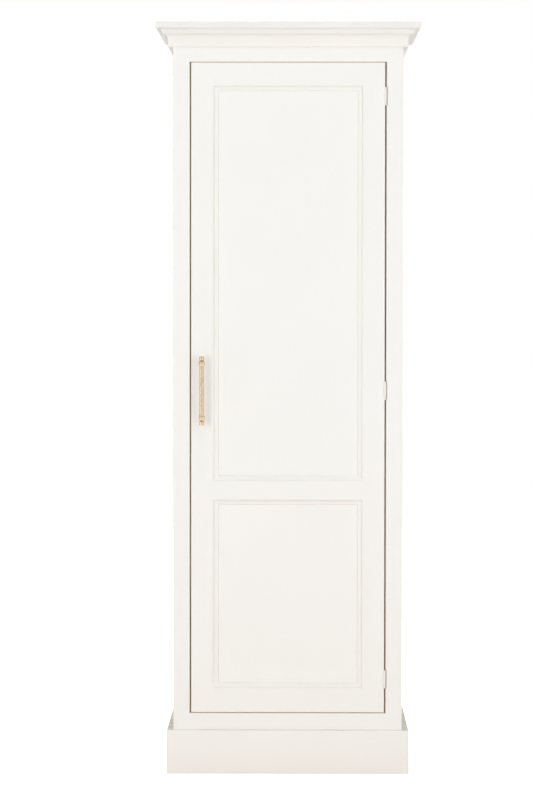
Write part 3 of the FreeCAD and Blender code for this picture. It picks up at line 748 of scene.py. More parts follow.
class Solid:
    """One shape in the making, held as a bmesh."""

    def __init__(self) -> None:
        """Starts with nothing."""
        self.mesh = bmesh.new()

    @classmethod
    def pushed(cls, outline: Sequence[Vector], reach: Vector) -> "Solid":
        """Flat outline pushed along a straight line.

        Args:
            outline: Corners of the outline.
            reach: How far and which way to push it.

        Returns:
            The closed shape.
        """
        solid = cls()
        corners = [bmesh.ops.create_vert(solid.mesh, co=corner)["vert"][0] for corner in outline]
        face = solid.mesh.faces.new(corners)
        grown = bmesh.ops.extrude_face_region(solid.mesh, geom=[face])["geom"]
        moved = [item for item in grown if isinstance(item, bmesh.types.BMVert)]
        bmesh.ops.translate(solid.mesh, verts=moved, vec=reach)
        bmesh.ops.recalc_face_normals(solid.mesh, faces=solid.mesh.faces)
        return solid

    @classmethod
    def turned(cls, profile: Sequence[Point], steps: int, closed: bool = False) -> "Solid":
        """Profile turned once about the Z axis.

        Args:
            profile: Points of radius and height.
            steps: Facets in a full turn.
            closed: Whether the profile is a ring that keeps clear of the axis.

        Returns:
            The closed shape.
        """
        solid = cls()
        knots = [bmesh.ops.create_vert(solid.mesh, co=(out, 0, up))["vert"][0] for out, up in profile]
        pairs = list(zip(knots, knots[1:]))
        if closed:
            pairs.append((knots[-1], knots[0]))
        edges = [solid.mesh.edges.new(pair) for pair in pairs]
        bmesh.ops.spin(
            solid.mesh,
            geom=knots + edges,
            cent=(0, 0, 0),
            axis=RISE,
            angle=FULL_TURN,
            steps=steps,
            use_merge=True,
        )
        bmesh.ops.remove_doubles(solid.mesh, verts=solid.mesh.verts, dist=TURNED_WELD)
        bmesh.ops.recalc_face_normals(solid.mesh, faces=solid.mesh.faces)
        return solid

    @classmethod
    def slab(cls, low: Vector, high: Vector) -> "Solid":
        """Square block between two corners.

        Args:
            low: Lowest corner.
            high: Highest corner.

        Returns:
            The closed shape.
        """
        solid = cls()
        size = high - low
        place = Matrix.Translation((low + high) / 2) @ Matrix.Diagonal((*size, 1))
        bmesh.ops.create_cube(solid.mesh, size=1, matrix=place)
        return solid

    def put(self, place: Matrix) -> "Solid":
        """Moves and turns the whole shape."""
        bmesh.ops.transform(self.mesh, matrix=place, verts=self.mesh.verts)
        return self

    def trim(self, point: Vector, outward: Vector) -> "Solid":
        """Cuts off what lies past a plane, and closes the cut.

        Args:
            point: A point of the plane.
            outward: Which way the piece that goes lies.

        Returns:
            The same shape.
        """
        everything = self.mesh.verts[:] + self.mesh.edges[:] + self.mesh.faces[:]
        cut = bmesh.ops.bisect_plane(
            self.mesh, geom=everything, plane_co=point, plane_no=outward, clear_outer=True, dist=CUT_WELD
        )
        rim = [item for item in cut["geom_cut"] if isinstance(item, bmesh.types.BMEdge)]
        bmesh.ops.contextual_create(self.mesh, geom=rim)
        bmesh.ops.recalc_face_normals(self.mesh, faces=self.mesh.faces)
        return self

    def ease(self, width: float, segments: int, wanted: Callable[[Edge], bool]) -> "Solid":
        """Rounds the sharp edges that are wanted.

        Args:
            width: How far the round reaches from the edge.
            segments: Facets across the round.
            wanted: Tells whether an edge is rounded.

        Returns:
            The same shape.
        """
        closed = [edge for edge in self.mesh.edges if edge.is_manifold]
        sharp = [edge for edge in closed if edge.calc_face_angle() > ARRIS_ANGLE]
        bmesh.ops.bevel(
            self.mesh,
            geom=[edge for edge in sharp if wanted(edge)],
            offset=width,
            offset_type="OFFSET",
            affect="EDGES",
            segments=segments,
            profile=0.5,
            material=-1,
        )
        return self

    def ease_all(self, width: float, segments: int) -> "Solid":
        """Rounds every sharp edge."""
        return self.ease(width, segments, lambda edge: True)

    def join(self, other: "Solid") -> "Solid":
        """Takes in another shape as a separate shell.

        Args:
            other: The shape to take in; it is used up.

        Returns:
            The same shape.
        """
        carrier = bpy.data.meshes.new("carrier")
        other.mesh.to_mesh(carrier)
        self.mesh.from_mesh(carrier)
        bpy.data.meshes.remove(carrier)
        other.mesh.free()
        return self

    def work(self, tool: "Solid", how: Joining) -> "Solid":
        """Joins another shape to this one, or cuts it out.

        Args:
            tool: The other shape; it is used up.
            how: Whether to join or to cut.

        Returns:
            The same shape.
        """
        holders = []
        for solid in (self, tool):
            carrier = bpy.data.meshes.new("carrier")
            solid.mesh.to_mesh(carrier)
            holders.append(bpy.data.objects.new("holder", carrier))
            bpy.context.scene.collection.objects.link(holders[-1])
        modifier = holders[0].modifiers.new("work", "BOOLEAN")
        modifier.operation = how.value
        modifier.solver = "EXACT"
        modifier.object = holders[1]
        worked = holders[0].evaluated_get(bpy.context.evaluated_depsgraph_get())
        result = bpy.data.meshes.new_from_object(worked)
        self.mesh.clear()
        self.mesh.from_mesh(result)
        tool.mesh.free()
        bpy.data.meshes.remove(result)
        for holder in holders:
            carrier = holder.data
            bpy.data.objects.remove(holder)
            bpy.data.meshes.remove(carrier)
        return self

    def mark_recess_shade(self, inside: Callable[[Vector], bool]) -> "Solid":
        """Marks the points that take painted shade in a recess, for finishes that show it.

        Args:
            inside: Tells whether a point lies in a recess.

        Returns:
            The same shape.
        """
        layers = self.mesh.verts.layers.float
        layer = layers.get(RECESS_SHADE_MARK) or layers.new(RECESS_SHADE_MARK)
        for vert in self.mesh.verts:
            vert[layer] = 1.0 if inside(vert.co) else 0.0
        return self

    def to_object(self, name: str) -> bpy.types.Object:
        """Turns the shape into an object at the origin, smooth but for its sharp edges.

        Args:
            name: The object's name.

        Returns:
            The object, linked to the scene.
        """
        data = bpy.data.meshes.new(name)
        self.mesh.to_mesh(data)
        self.mesh.free()
        data.polygons.foreach_set("use_smooth", [True] * len(data.polygons))
        data.set_sharp_from_angle(angle=SMOOTH_ANGLE)
        obj = bpy.data.objects.new(name, data)
        bpy.context.scene.collection.objects.link(obj)
        return obj


def loose_parts(node: str) -> list[list[Vector]]:
    """Points of each separate solid in a CAD node.

    Args:
        node: The node's name.

    Returns:
        One list of points for each solid, in a settled order.
    """
    copy = bmesh.new()
    copy.from_mesh(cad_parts[node].data)
    bmesh.ops.remove_doubles(copy, verts=copy.verts, dist=TOUCHING)
    parts: list[list[Vector]] = []
    seen: set[int] = set()
    copy.verts.index_update()
    for first in copy.verts:
        if first.index in seen:
            continue
        seen.add(first.index)
        waiting = [first]
        part: list[Vector] = []
        while waiting:
            vert = waiting.pop()
            part.append(vert.co.copy())
            for edge in vert.link_edges:
                other = edge.other_vert(vert)
                if other.index not in seen:
                    seen.add(other.index)
                    waiting.append(other)
        parts.append(part)
    copy.free()
    return parts


def corners_of(points: Iterable[Vector]) -> tuple[Vector, Vector]:
    """Lowest and highest corner of some points."""
    columns = list(zip(*points))
    return Vector([min(column) for column in columns]), Vector([max(column) for column in columns])


def facing(origin: Vector, direction: Vector, turn: float = 0.0) -> Matrix:
    """Matrix that takes a shape's origin to a place and its Z axis to a direction, turned about it first."""
    tilt = RISE.rotation_difference(direction).to_matrix().to_4x4()
    return Matrix.Translation(origin) @ tilt @ Matrix.Rotation(turn, 4, "Z")


def runs_along(edge: Edge, heading: Vector) -> bool:
    """Whether an edge runs along a direction."""
    first, second = (vert.co for vert in edge.verts)
    return abs((second - first).normalized().dot(heading)) > LENGTHWISE_SHARE


@dataclass
class Assembly:
    """What every sub-assembly has: the rack of finishes and the body that it rides on."""

    rack: FinishRack
    body: Body

    def build(self) -> Pieces:
        """Models the new pieces; an assembly of plain boards has none."""
        return []

    def dress(self) -> Pieces:
        """Dresses the CAD nodes that stay; an assembly of new pieces has none."""
        return []

    def add_piece(
        self, name: str, solid: Solid, finishes: Sequence[Finish], nodes: Sequence[str]
    ) -> bpy.types.Object:
        """Hands over a finished shape as a piece.

        Args:
            name: The piece's name.
            solid: Its shape; it is used up.
            finishes: Its finishes, the main one first.
            nodes: CAD nodes that it stands for.

        Returns:
            The piece.
        """
        piece = solid.to_object(name)
        for finish in finishes:
            piece.data.materials.append(self.rack.material(finish))
        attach(piece, self.body.value)
        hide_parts(*nodes)
        return piece

    def dress_nodes(self, finishes: dict[str, Finish]) -> Pieces:
        """Gives CAD nodes their finish.

        Args:
            finishes: The finish of each node by its name.

        Returns:
            The nodes' objects.
        """
        dressed = []
        for node, finish in finishes.items():
            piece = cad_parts[node]
            for holder in piece.material_slots:
                holder.material = self.rack.material(finish)
            dressed.append(piece)
        return dressed


@dataclass
class Carcass(Assembly):
    """Sides, top, floor, back and the boards inside the base."""

    body: Body = Body.CARCASS

    def dress(self) -> Pieces:
        """Paints the boards and leaves the base timbers and the side stops bare."""
        return self.dress_nodes({
            "side_panel_left": PAINT_UPRIGHT,
            "side_panel_right": PAINT_UPRIGHT,
            "back_panel": PAINT_UPRIGHT,
            "top_board": PAINT_ACROSS,
            # The floor board and the door stop take painted shade where they lie behind the door gap.
            "floor_board": FRAMING_ACROSS,
            "wall_rail": PAINT_ACROSS,
            "door_stop": FRAMING_ACROSS,
            "plinth_back": TIMBER_ACROSS,
            "floor_blocks": TIMBER_UPRIGHT,
            "side_stops": TIMBER_UPRIGHT,
        })


@dataclass
class FaceFrame(Assembly):
    """Stiles and rails round the door."""

    body: Body = Body.CARCASS

    def dress(self) -> Pieces:
        """Paints each member along its length."""
        return self.dress_nodes({
            "frame_stile_left": FRAMING_UPRIGHT,
            "frame_stile_right": FRAMING_UPRIGHT,
            "frame_rail_top": FRAMING_ACROSS,
            "frame_rail_bottom": FRAMING_ACROSS,
        })


@dataclass
class PlantedRuns(Assembly):
    """Section that runs round the front and the sides, mitred at the front corners."""

    body: Body = Body.CARCASS
    stem: str = ""
    arris: float = 0.5 * MM
    arris_steps: int = 3
    front_finish: Finish = PAINT_ACROSS
    return_finish: Finish = PAINT_DEEP

    def section(self) -> list[Point]:
        """Points of the section, out from the carcass and up from its lower edge."""
        raise NotImplementedError

    def one_run(self, start: Vector, along: Vector, out: Vector) -> Solid:
        """Straight run with its long edges eased.

        Args:
            start: Where the planted lower edge starts.
            along: Length and direction of the run.
            out: Direction away from the carcass.

        Returns:
            The run, square at both ends.
        """
        outline = [start + out * reach + RISE * up for reach, up in self.section()]
        heading = along.normalized()

        def is_long_and_free(edge: Edge) -> bool:
            """Whether an edge runs along the run and stands clear of the carcass."""
            return runs_along(edge, heading) and (edge.verts[0].co - start).dot(out) > self.arris

        return Solid.pushed(outline, along).ease(self.arris, self.arris_steps, is_long_and_free)

    def build(self) -> Pieces:
        """Models the front run and the two side runs.

        Returns:
            The three pieces.
        """
        low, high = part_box(self.stem + "_front")
        half_width = -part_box("frame_stile_left")[0].x
        front_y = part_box("frame_stile_left")[0].y
        back_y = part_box(self.stem + "_left")[1].y
        front = self.one_run(Vector((low.x, front_y, low.z)), ACROSS * (high.x - low.x), -DEEP)
        pieces = []
        for end, side in (("left", -1), ("right", 1)):
            corner = Vector((side * half_width, front_y, low.z))
            front.trim(corner, ACROSS * side + DEEP)
            start = Vector((side * half_width, low.y, low.z))
            run = self.one_run(start, DEEP * (back_y - low.y), ACROSS * side)
            run.trim(corner, -ACROSS * side - DEEP)
            node = f"{self.stem}_{end}"
            pieces.append(self.add_piece(node + "_run", run, [self.return_finish], [node]))
        node = self.stem + "_front"
        pieces.append(self.add_piece(node + "_run", front, [self.front_finish], [node]))
        return pieces


@dataclass
class Crown(PlantedRuns):
    """Stepped crown: fascia, cove, leaning band, ovolo and a top fillet that stands a little proud."""

    stem: str = "crown"
    # Darker paint: painted shade on the crown.
    front_finish: Finish = CROWN_SHADED_ACROSS
    return_finish: Finish = CROWN_SHADED_DEEP
    fascia_projection: float = 14.0 * MM
    fascia_height: float = 13.0 * MM
    cove_reach: float = 12.0 * MM
    cove_height: float = 23.0 * MM
    quirk_reach: float = 3.0 * MM
    band_lean: float = 5.0 * MM
    band_height: float = 13.0 * MM
    ovolo_step: float = 3.0 * MM
    ovolo_reach: float = 11.8 * MM
    ovolo_height: float = 11.0 * MM
    fillet_step: float = 1.2 * MM
    fillet_height: float = 8.0 * MM
    curve_steps: int = 16

    def section(self) -> list[Point]:
        """Section of the crown from its lower inner corner.

        Returns:
            Points, out from the carcass and up from the lower edge.
        """
        cove_out = self.fascia_projection + self.cove_reach
        band_out = cove_out + self.quirk_reach
        ovolo_in = band_out + self.band_lean + self.ovolo_step
        ovolo_out = ovolo_in + self.ovolo_reach
        top_out = ovolo_out + self.fillet_step
        band_base = self.fascia_height + self.cove_height
        ovolo_base = band_base + self.band_height
        fillet_base = ovolo_base + self.ovolo_height
        cove_start = (self.fascia_projection, self.fascia_height)
        cove_corner = (self.fascia_projection, band_base)
        cove = bend(cove_start, cove_corner, (cove_out, band_base), self.curve_steps)
        ovolo_corner = (ovolo_out, ovolo_base)
        ovolo = bend((ovolo_in, ovolo_base), ovolo_corner, (ovolo_out, fillet_base), self.curve_steps)
        top = fillet_base + self.fillet_height
        return [
            (0, 0),
            (self.fascia_projection, 0),
            *cove,
            (band_out, band_base),
            (band_out + self.band_lean, ovolo_base),
            *ovolo,
            (top_out, fillet_base),
            (top_out, top),
            (0, top),
        ]


@dataclass
class Plinth(PlantedRuns):
    """Plain plinth with its upper outer edge rounded."""

    stem: str = "plinth"
    front_finish: Finish = PLINTH_LEDGE_SHADE_ACROSS
    return_finish: Finish = PLINTH_LEDGE_SHADE_DEEP
    thickness: float = 19.5 * MM
    height: float = 124.0 * MM
    rounding: float = 4.0 * MM
    curve_steps: int = 8

    def section(self) -> list[Point]:
        """Section of the plinth from its lower inner corner.

        Returns:
            Points, out from the carcass and up from the floor.
        """
        corner = (self.thickness, self.height)
        round_low = (self.thickness, self.height - self.rounding)
        round_high = (self.thickness - self.rounding, self.height)
        rounded = bend(round_low, corner, round_high, self.curve_steps)
        return [(0, 0), (self.thickness, 0), *rounded, (0, self.height)]


@dataclass
class PanelledDoor(Assembly):
    """Door framing with two panels, each inside a mitred moulding."""

    body: Body = Body.DOOR
    moulding_width: float = 14.8 * MM
    quirk: float = 1.2 * MM
    lip: float = 0.8 * MM
    cove_width: float = 7.2 * MM
    cove_depth: float = 5.3 * MM
    fillet_width: float = 3.8 * MM
    arris: float = 0.2 * MM
    arris_steps: int = 2
    curve_steps: int = 10

    def section(self, recess: float) -> list[Point]:
        """Section of the moulding.

        Args:
            recess: Depth of the panel behind the face of the framing.

        Returns:
            Points, inward from the framing and back from its face.
        """
        cove_end = self.lip + self.cove_width
        cove_floor = self.quirk + self.cove_depth
        fillet_end = cove_end + self.fillet_width
        cove = bend((self.lip, self.quirk), (self.lip, cove_floor), (cove_end, cove_floor), self.curve_steps)
        bead_corner = (self.moulding_width, cove_floor)
        bead = bend((fillet_end, cove_floor), bead_corner, (self.moulding_width, recess), self.curve_steps)
        return [(0, recess), (0, self.quirk), *cove, *bead]

    def strip(self, corner: Vector, along: Vector, inward: Vector, recess: float) -> Solid:
        """One strip of moulding, mitred at both ends.

        Args:
            corner: Corner of the opening, on the face of the framing, where the strip starts.
            along: Length and direction of the strip.
            inward: Direction towards the middle of the panel.
            recess: Depth of the panel behind the face of the framing.

        Returns:
            The strip.
        """
        outline = [corner + inward * reach + DEEP * depth for reach, depth in self.section(recess)]
        heading = along.normalized()

        def is_free_arris(edge: Edge) -> bool:
            """Whether an edge runs along the strip and stands off the framing and the panel."""
            offset = edge.verts[0].co - corner
            stands_off = offset.dot(inward) > self.arris and offset.dot(DEEP) < recess - self.arris
            return runs_along(edge, heading) and stands_off

        strip = Solid.pushed(outline, along).ease(self.arris, self.arris_steps, is_free_arris)
        return strip.trim(corner, inward - heading).trim(corner + along, inward + heading)

    def build(self) -> Pieces:
        """Models the moulding round each panel.

        Returns:
            Two pieces of four strips.
        """
        pieces = []
        face_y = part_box("door_stile_lock")[0].y
        for level in ("lower", "upper"):
            node = "moulding_" + level
            low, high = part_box(node)
            recess = high.y - face_y
            width = ACROSS * (high.x - low.x)
            height = RISE * (high.z - low.z)
            corner = Vector((low.x, face_y, low.z))
            ring = self.strip(corner, width, RISE, recess)
            ring.join(self.strip(corner + height, width, -RISE, recess))
            ring.join(self.strip(corner, height, ACROSS, recess))
            ring.join(self.strip(corner + width, height, -ACROSS, recess))
            # The moulding's darker paint is painted shade.
            pieces.append(self.add_piece(f"panel_moulding_{level}", ring, [PAINT_MOULDING_SHADED], [node]))
        return pieces

    def dress(self) -> Pieces:
        """Paints each member along its length."""
        return self.dress_nodes({
            "door_stile_lock": FRAMING_UPRIGHT,
            "door_stile_hinge": FRAMING_UPRIGHT,
            "door_rail_top": FRAMING_ACROSS,
            "door_rail_middle": FRAMING_ACROSS,
            "door_rail_bottom": FRAMING_ACROSS,
            "door_panel_lower": PAINT_UPRIGHT,
            "door_panel_upper": PAINT_UPRIGHT,
        })


@dataclass
class ButtHinges(Assembly):
    """Three butt hinges, painted over; each leaf rides on its own body already."""

    body: Body = Body.CARCASS

    def dress(self) -> Pieces:
        """Paints the leaves and the pins."""
        levels = ("top", "middle", "bottom")
        leaves = [f"hinge_{side}_leaf_{level}" for side in ("frame", "door") for level in levels]
        return self.dress_nodes({node: PAINT_HINGE for node in [*leaves, "hinge_pins"]})


@dataclass
class BarHandle(Assembly):
    """Turned brass bar on two collared posts, with a necked cap on each end."""

    body: Body = Body.DOOR
    bar_radius: float = 6.75 * MM
    bar_edge: float = 0.3 * MM
    spigot_radius: float = 3.0 * MM
    spigot_length: float = 8.0 * MM
    collar_radius: float = 8.4 * MM
    collar_end_radius: float = 7.55 * MM
    collar_half_height: float = 6.5 * MM
    bore_radius: float = 6.77 * MM
    stem_radius: float = 5.5 * MM
    stem_fillet: float = 0.9 * MM
    rose_radius: float = 8.2 * MM
    rose_thickness: float = 3.0 * MM
    rose_round: float = 1.2 * MM
    neck_radius: float = 5.4 * MM
    neck_length: float = 2.0 * MM
    cap_radius: float = 7.0 * MM
    cap_length: float = 11.8 * MM
    cap_round: float = 1.2 * MM
    # How far the painted shade reaches on the cap's neck and the collar's ends.
    cap_shade_share: float = 1 / 3
    collar_shade_share: float = 0.93
    facets: int = 64
    curve_steps: int = 8

    def bar(self) -> Solid:
        """Bar with a blind hole in each end, lying up the Z axis about the middle.

        Returns:
            The shape in its place.
        """
        low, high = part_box("handle_bar")
        half = (high.z - low.z) / 2
        upper = [
            (self.bar_radius, half - self.bar_edge),
            (self.bar_radius - self.bar_edge, half),
            (self.spigot_radius, half),
            (self.spigot_radius, half - self.spigot_length),
            (0, half - self.spigot_length),
        ]
        lower = [(out, -up) for out, up in reversed(upper)]
        solid = Solid.turned(lower + upper, self.facets)
        return solid.put(Matrix.Translation((low + high) / 2)).mark_recess_shade(lambda point: False)

    def cap(self, node: str, outward: Vector) -> Solid:
        """Rounded cap on a neck, with a spigot that goes into the bar.

        Args:
            node: CAD node of the cap.
            outward: Direction away from the bar.

        Returns:
            The shape in its place.
        """
        low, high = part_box(node)
        middle = (low + high) / 2
        tip = self.neck_length + self.cap_length
        inner = self.cap_radius - self.cap_round
        under = bend(
            (inner, self.neck_length),
            (self.cap_radius, self.neck_length),
            (self.cap_radius, self.neck_length + self.cap_round),
            self.curve_steps,
        )
        dome_base = (self.cap_radius, tip - self.cap_round)
        dome = bend(dome_base, (self.cap_radius, tip), (inner, tip), self.curve_steps)
        profile = [
            (0, -self.spigot_length),
            (self.spigot_radius, -self.spigot_length),
            (self.spigot_radius, 0),
            (self.neck_radius, 0),
            (self.neck_radius, self.neck_length),
            *under,
            *dome,
            (0, tip),
        ]
        solid = Solid.turned(profile, self.facets)
        # Painted shade on the neck under the cap.
        shade_top = self.neck_length + self.cap_round * self.cap_shade_share
        solid.mark_recess_shade(lambda point: -self.neck_length / 2 < point.z < shade_top)
        seat = middle + outward * ((self.spigot_length - tip) / 2)
        return solid.put(facing(seat, outward))

    def post(self, node: str) -> Solid:
        """Round collar on a stem that ends in a rose on the door.

        Args:
            node: CAD node of the post.

        Returns:
            The shape in its place.
        """
        low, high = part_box(node)
        axis_y = (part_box("handle_bar")[0].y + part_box("handle_bar")[1].y) / 2
        level = (low.z + high.z) / 2
        centre = Vector(((low.x + high.x) / 2, axis_y, level))
        stand_off = high.y - axis_y
        swell = (self.collar_radius * 2 - self.collar_end_radius, 0)
        belly = bend(
            (self.collar_end_radius, -self.collar_half_height),
            swell,
            (self.collar_end_radius, self.collar_half_height),
            self.curve_steps * 2,
        )
        barrel = [(0, -self.collar_half_height), *belly, (0, self.collar_half_height)]
        rim_in = self.rose_radius - self.rose_round
        rim = bend(
            (self.rose_radius, self.rose_thickness - self.rose_round),
            (self.rose_radius, self.rose_thickness),
            (rim_in, self.rose_thickness),
            self.curve_steps,
        )
        foot = bend(
            (self.stem_radius + self.stem_fillet, self.rose_thickness),
            (self.stem_radius, self.rose_thickness),
            (self.stem_radius, self.rose_thickness + self.stem_fillet),
            self.curve_steps,
        )
        stem = [(0, 0), (self.rose_radius, 0), *rim, *foot, (self.stem_radius, stand_off), (0, stand_off)]
        post = Solid.turned(barrel, self.facets).put(Matrix.Translation(centre))
        door_seat = Vector((centre.x, high.y, level))
        post.work(Solid.turned(stem, self.facets).put(facing(door_seat, -DEEP)), Joining.UNION)
        reach = self.collar_half_height * 2
        bore = [(0, -reach), (self.bore_radius, -reach), (self.bore_radius, reach), (0, reach)]
        post.work(Solid.turned(bore, self.facets).put(Matrix.Translation(centre)), Joining.CUT)
        # Painted shade on the collar's ends, where it meets the bar.
        edge = self.collar_half_height * self.collar_shade_share
        collar_back = axis_y + self.collar_radius
        return post.mark_recess_shade(lambda point: abs(point.z - level) > edge and point.y < collar_back)

    def build(self) -> Pieces:
        """Models the bar, the posts and the caps.

        Returns:
            The five pieces.
        """
        pieces = [self.add_piece("handle_turned_bar", self.bar(), [BRASS], ["handle_bar"])]
        for end, outward in (("upper", RISE), ("lower", -RISE)):
            cap = self.cap("handle_cap_" + end, outward)
            pieces.append(self.add_piece("handle_turned_cap_" + end, cap, [BRASS], ["handle_cap_" + end]))
            post = self.post("handle_post_" + end)
            pieces.append(self.add_piece("handle_turned_post_" + end, post, [BRASS], ["handle_post_" + end]))
        return pieces


@dataclass
class Fasteners(Assembly):
    """Groups of countersunk screws with a cross recess."""

    body: Body = Body.CARCASS
    nodes: tuple[str, ...] = ()
    head_radius: float = 3.2 * MM
    head_height: float = 1.8 * MM
    head_edge: float = 0.15 * MM
    shank_radius: float = 1.5 * MM
    cross_half_length: float = 1.7 * MM
    cross_half_width: float = 0.42 * MM
    cross_depth: float = 0.9 * MM
    facets: int = 20

    def cross(self, solid: Solid) -> Solid:
        """Sinks a cross recess into the flat top of a head.

        Args:
            solid: The fastener, its flat top at the origin and its tip up the Z axis.

        Returns:
            The same shape.
        """
        mesh = solid.mesh

        def flat_top() -> list[bmesh.types.BMFace]:
            """Faces that lie in the flat top."""
            return [face for face in mesh.faces if all(abs(vert.co.z) < TOUCHING for vert in face.verts)]

        bmesh.ops.dissolve_faces(mesh, faces=flat_top())
        for offset in (self.cross_half_width, self.cross_half_length):
            for axis in (ACROSS, DEEP):
                for side in (-1, 1):
                    flat = flat_top()
                    geom = list({item for face in flat for item in (*face.verts, *face.edges)}) + flat
                    bmesh.ops.bisect_plane(mesh, geom=geom, plane_co=axis * (side * offset), plane_no=axis)
        sunk = []
        for face in flat_top():
            middle = face.calc_center_median()
            near, far = sorted((abs(middle.x), abs(middle.y)))
            if near < self.cross_half_width and far < self.cross_half_length:
                sunk.append(face)
        grown = bmesh.ops.extrude_face_region(mesh, geom=sunk)["geom"]
        lowered = [item for item in grown if isinstance(item, bmesh.types.BMVert)]
        bmesh.ops.translate(mesh, verts=lowered, vec=RISE * self.cross_depth)
        bmesh.ops.delete(mesh, geom=[face for face in sunk if face.is_valid], context="FACES_ONLY")
        bmesh.ops.recalc_face_normals(mesh, faces=mesh.faces)
        return solid

    def screw(self, length: float) -> Solid:
        """Countersunk screw whose flat head lies at the origin and whose tip is up the Z axis.

        Args:
            length: Length over all.

        Returns:
            The shape.
        """
        profile = [
            (0, 0),
            (self.head_radius - self.head_edge, 0),
            (self.head_radius - self.head_edge, self.head_edge / 2),
            (self.shank_radius, self.head_height),
            (self.shank_radius, length - self.head_height),
            (0, length),
        ]
        return self.cross(Solid.turned(profile, self.facets))

    def seat(self, points: list[Vector]) -> tuple[Vector, Vector, float]:
        """Finds how one screw of a CAD node lies.

        Args:
            points: The points of its solid.

        Returns:
            The middle of its head, the direction of its tip and its length.
        """
        low, high = corners_of(points)
        size = high - low
        axis = max(range(3), key=lambda index: size[index])

        def breadth(end: float) -> float:
            """How broad the screw is at one end of its axis."""
            first, last = corners_of(point for point in points if abs(point[axis] - end) < NEAR)
            return (last - first).length

        head_is_low = breadth(low[axis]) > breadth(high[axis])
        head = (low + high) / 2
        direction = Vector((0, 0, 0))
        head[axis] = low[axis] if head_is_low else high[axis]
        direction[axis] = 1 if head_is_low else -1
        return head, direction, size[axis]

    def build(self) -> Pieces:
        """Models each group of screws.

        Returns:
            One piece for each group.
        """
        pieces = []
        for node in self.nodes:
            group = Solid()
            for number, points in enumerate(loose_parts(node)):
                head, direction, length = self.seat(points)
                group.join(self.screw(length).put(facing(head, direction, GOLDEN_TURN * number)))
            pieces.append(self.add_piece(node + "_turned", group, [ZINC], [node]))
        return pieces


@dataclass
class HandleBolts(Fasteners):
    """Two round-headed bolts that hold the handle from inside the door."""

    body: Body = Body.DOOR
    bolt_radius: float = 2.0 * MM
    bolt_head_radius: float = 4.0 * MM
    bolt_head_height: float = 2.6 * MM
    dome_share: float = 0.62
    facets: int = 28
    curve_steps: int = 8

    def build(self) -> Pieces:
        """Models both bolts as one piece.

        Returns:
            The piece.
        """
        group = Solid()
        for number, points in enumerate(loose_parts("handle_bolts")):
            low, high = corners_of(points)
            length = high.y - low.y
            flat = self.bolt_head_radius * self.dome_share
            dome = bend(
                (flat, 0),
                (self.bolt_head_radius, 0),
                (self.bolt_head_radius, self.bolt_head_height * self.dome_share),
                self.curve_steps,
            )
            profile = [
                (0, 0),
                *dome,
                (self.bolt_head_radius, self.bolt_head_height),
                (self.bolt_radius, self.bolt_head_height),
                (self.bolt_radius, length),
                (0, length),
            ]
            bolt = self.cross(Solid.turned(profile, self.facets))
            seat = Vector(((low.x + high.x) / 2, high.y, (low.z + high.z) / 2))
            group.join(bolt.put(facing(seat, -DEEP, GOLDEN_TURN * number)))
        return [self.add_piece("handle_bolts_turned", group, [ZINC], ["handle_bolts"])]


@dataclass
class HatShelf(Assembly):
    """Shelf with a rounded front edge, on painted cleats."""

    body: Body = Body.CARCASS
    nosing: float = 3.0 * MM
    nosing_steps: int = 5

    def build(self) -> Pieces:
        """Models the shelf.

        Returns:
            The piece.
        """
        low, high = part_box("hat_shelf")

        def is_front_edge(edge: Edge) -> bool:
            """Whether an edge runs along the front."""
            return runs_along(edge, ACROSS) and abs(edge.verts[0].co.y - low.y) < NEAR

        shelf = Solid.slab(low, high).ease(self.nosing, self.nosing_steps, is_front_edge)
        return [self.add_piece("hat_shelf_board", shelf, [PAINT_ACROSS], ["hat_shelf"])]

    def dress(self) -> Pieces:
        """Paints the cleats along their length."""
        return self.dress_nodes({
            "shelf_cleat_back": PAINT_ACROSS,
            "shelf_cleat_left": PAINT_DEEP,
            "shelf_cleat_right": PAINT_DEEP,
        })


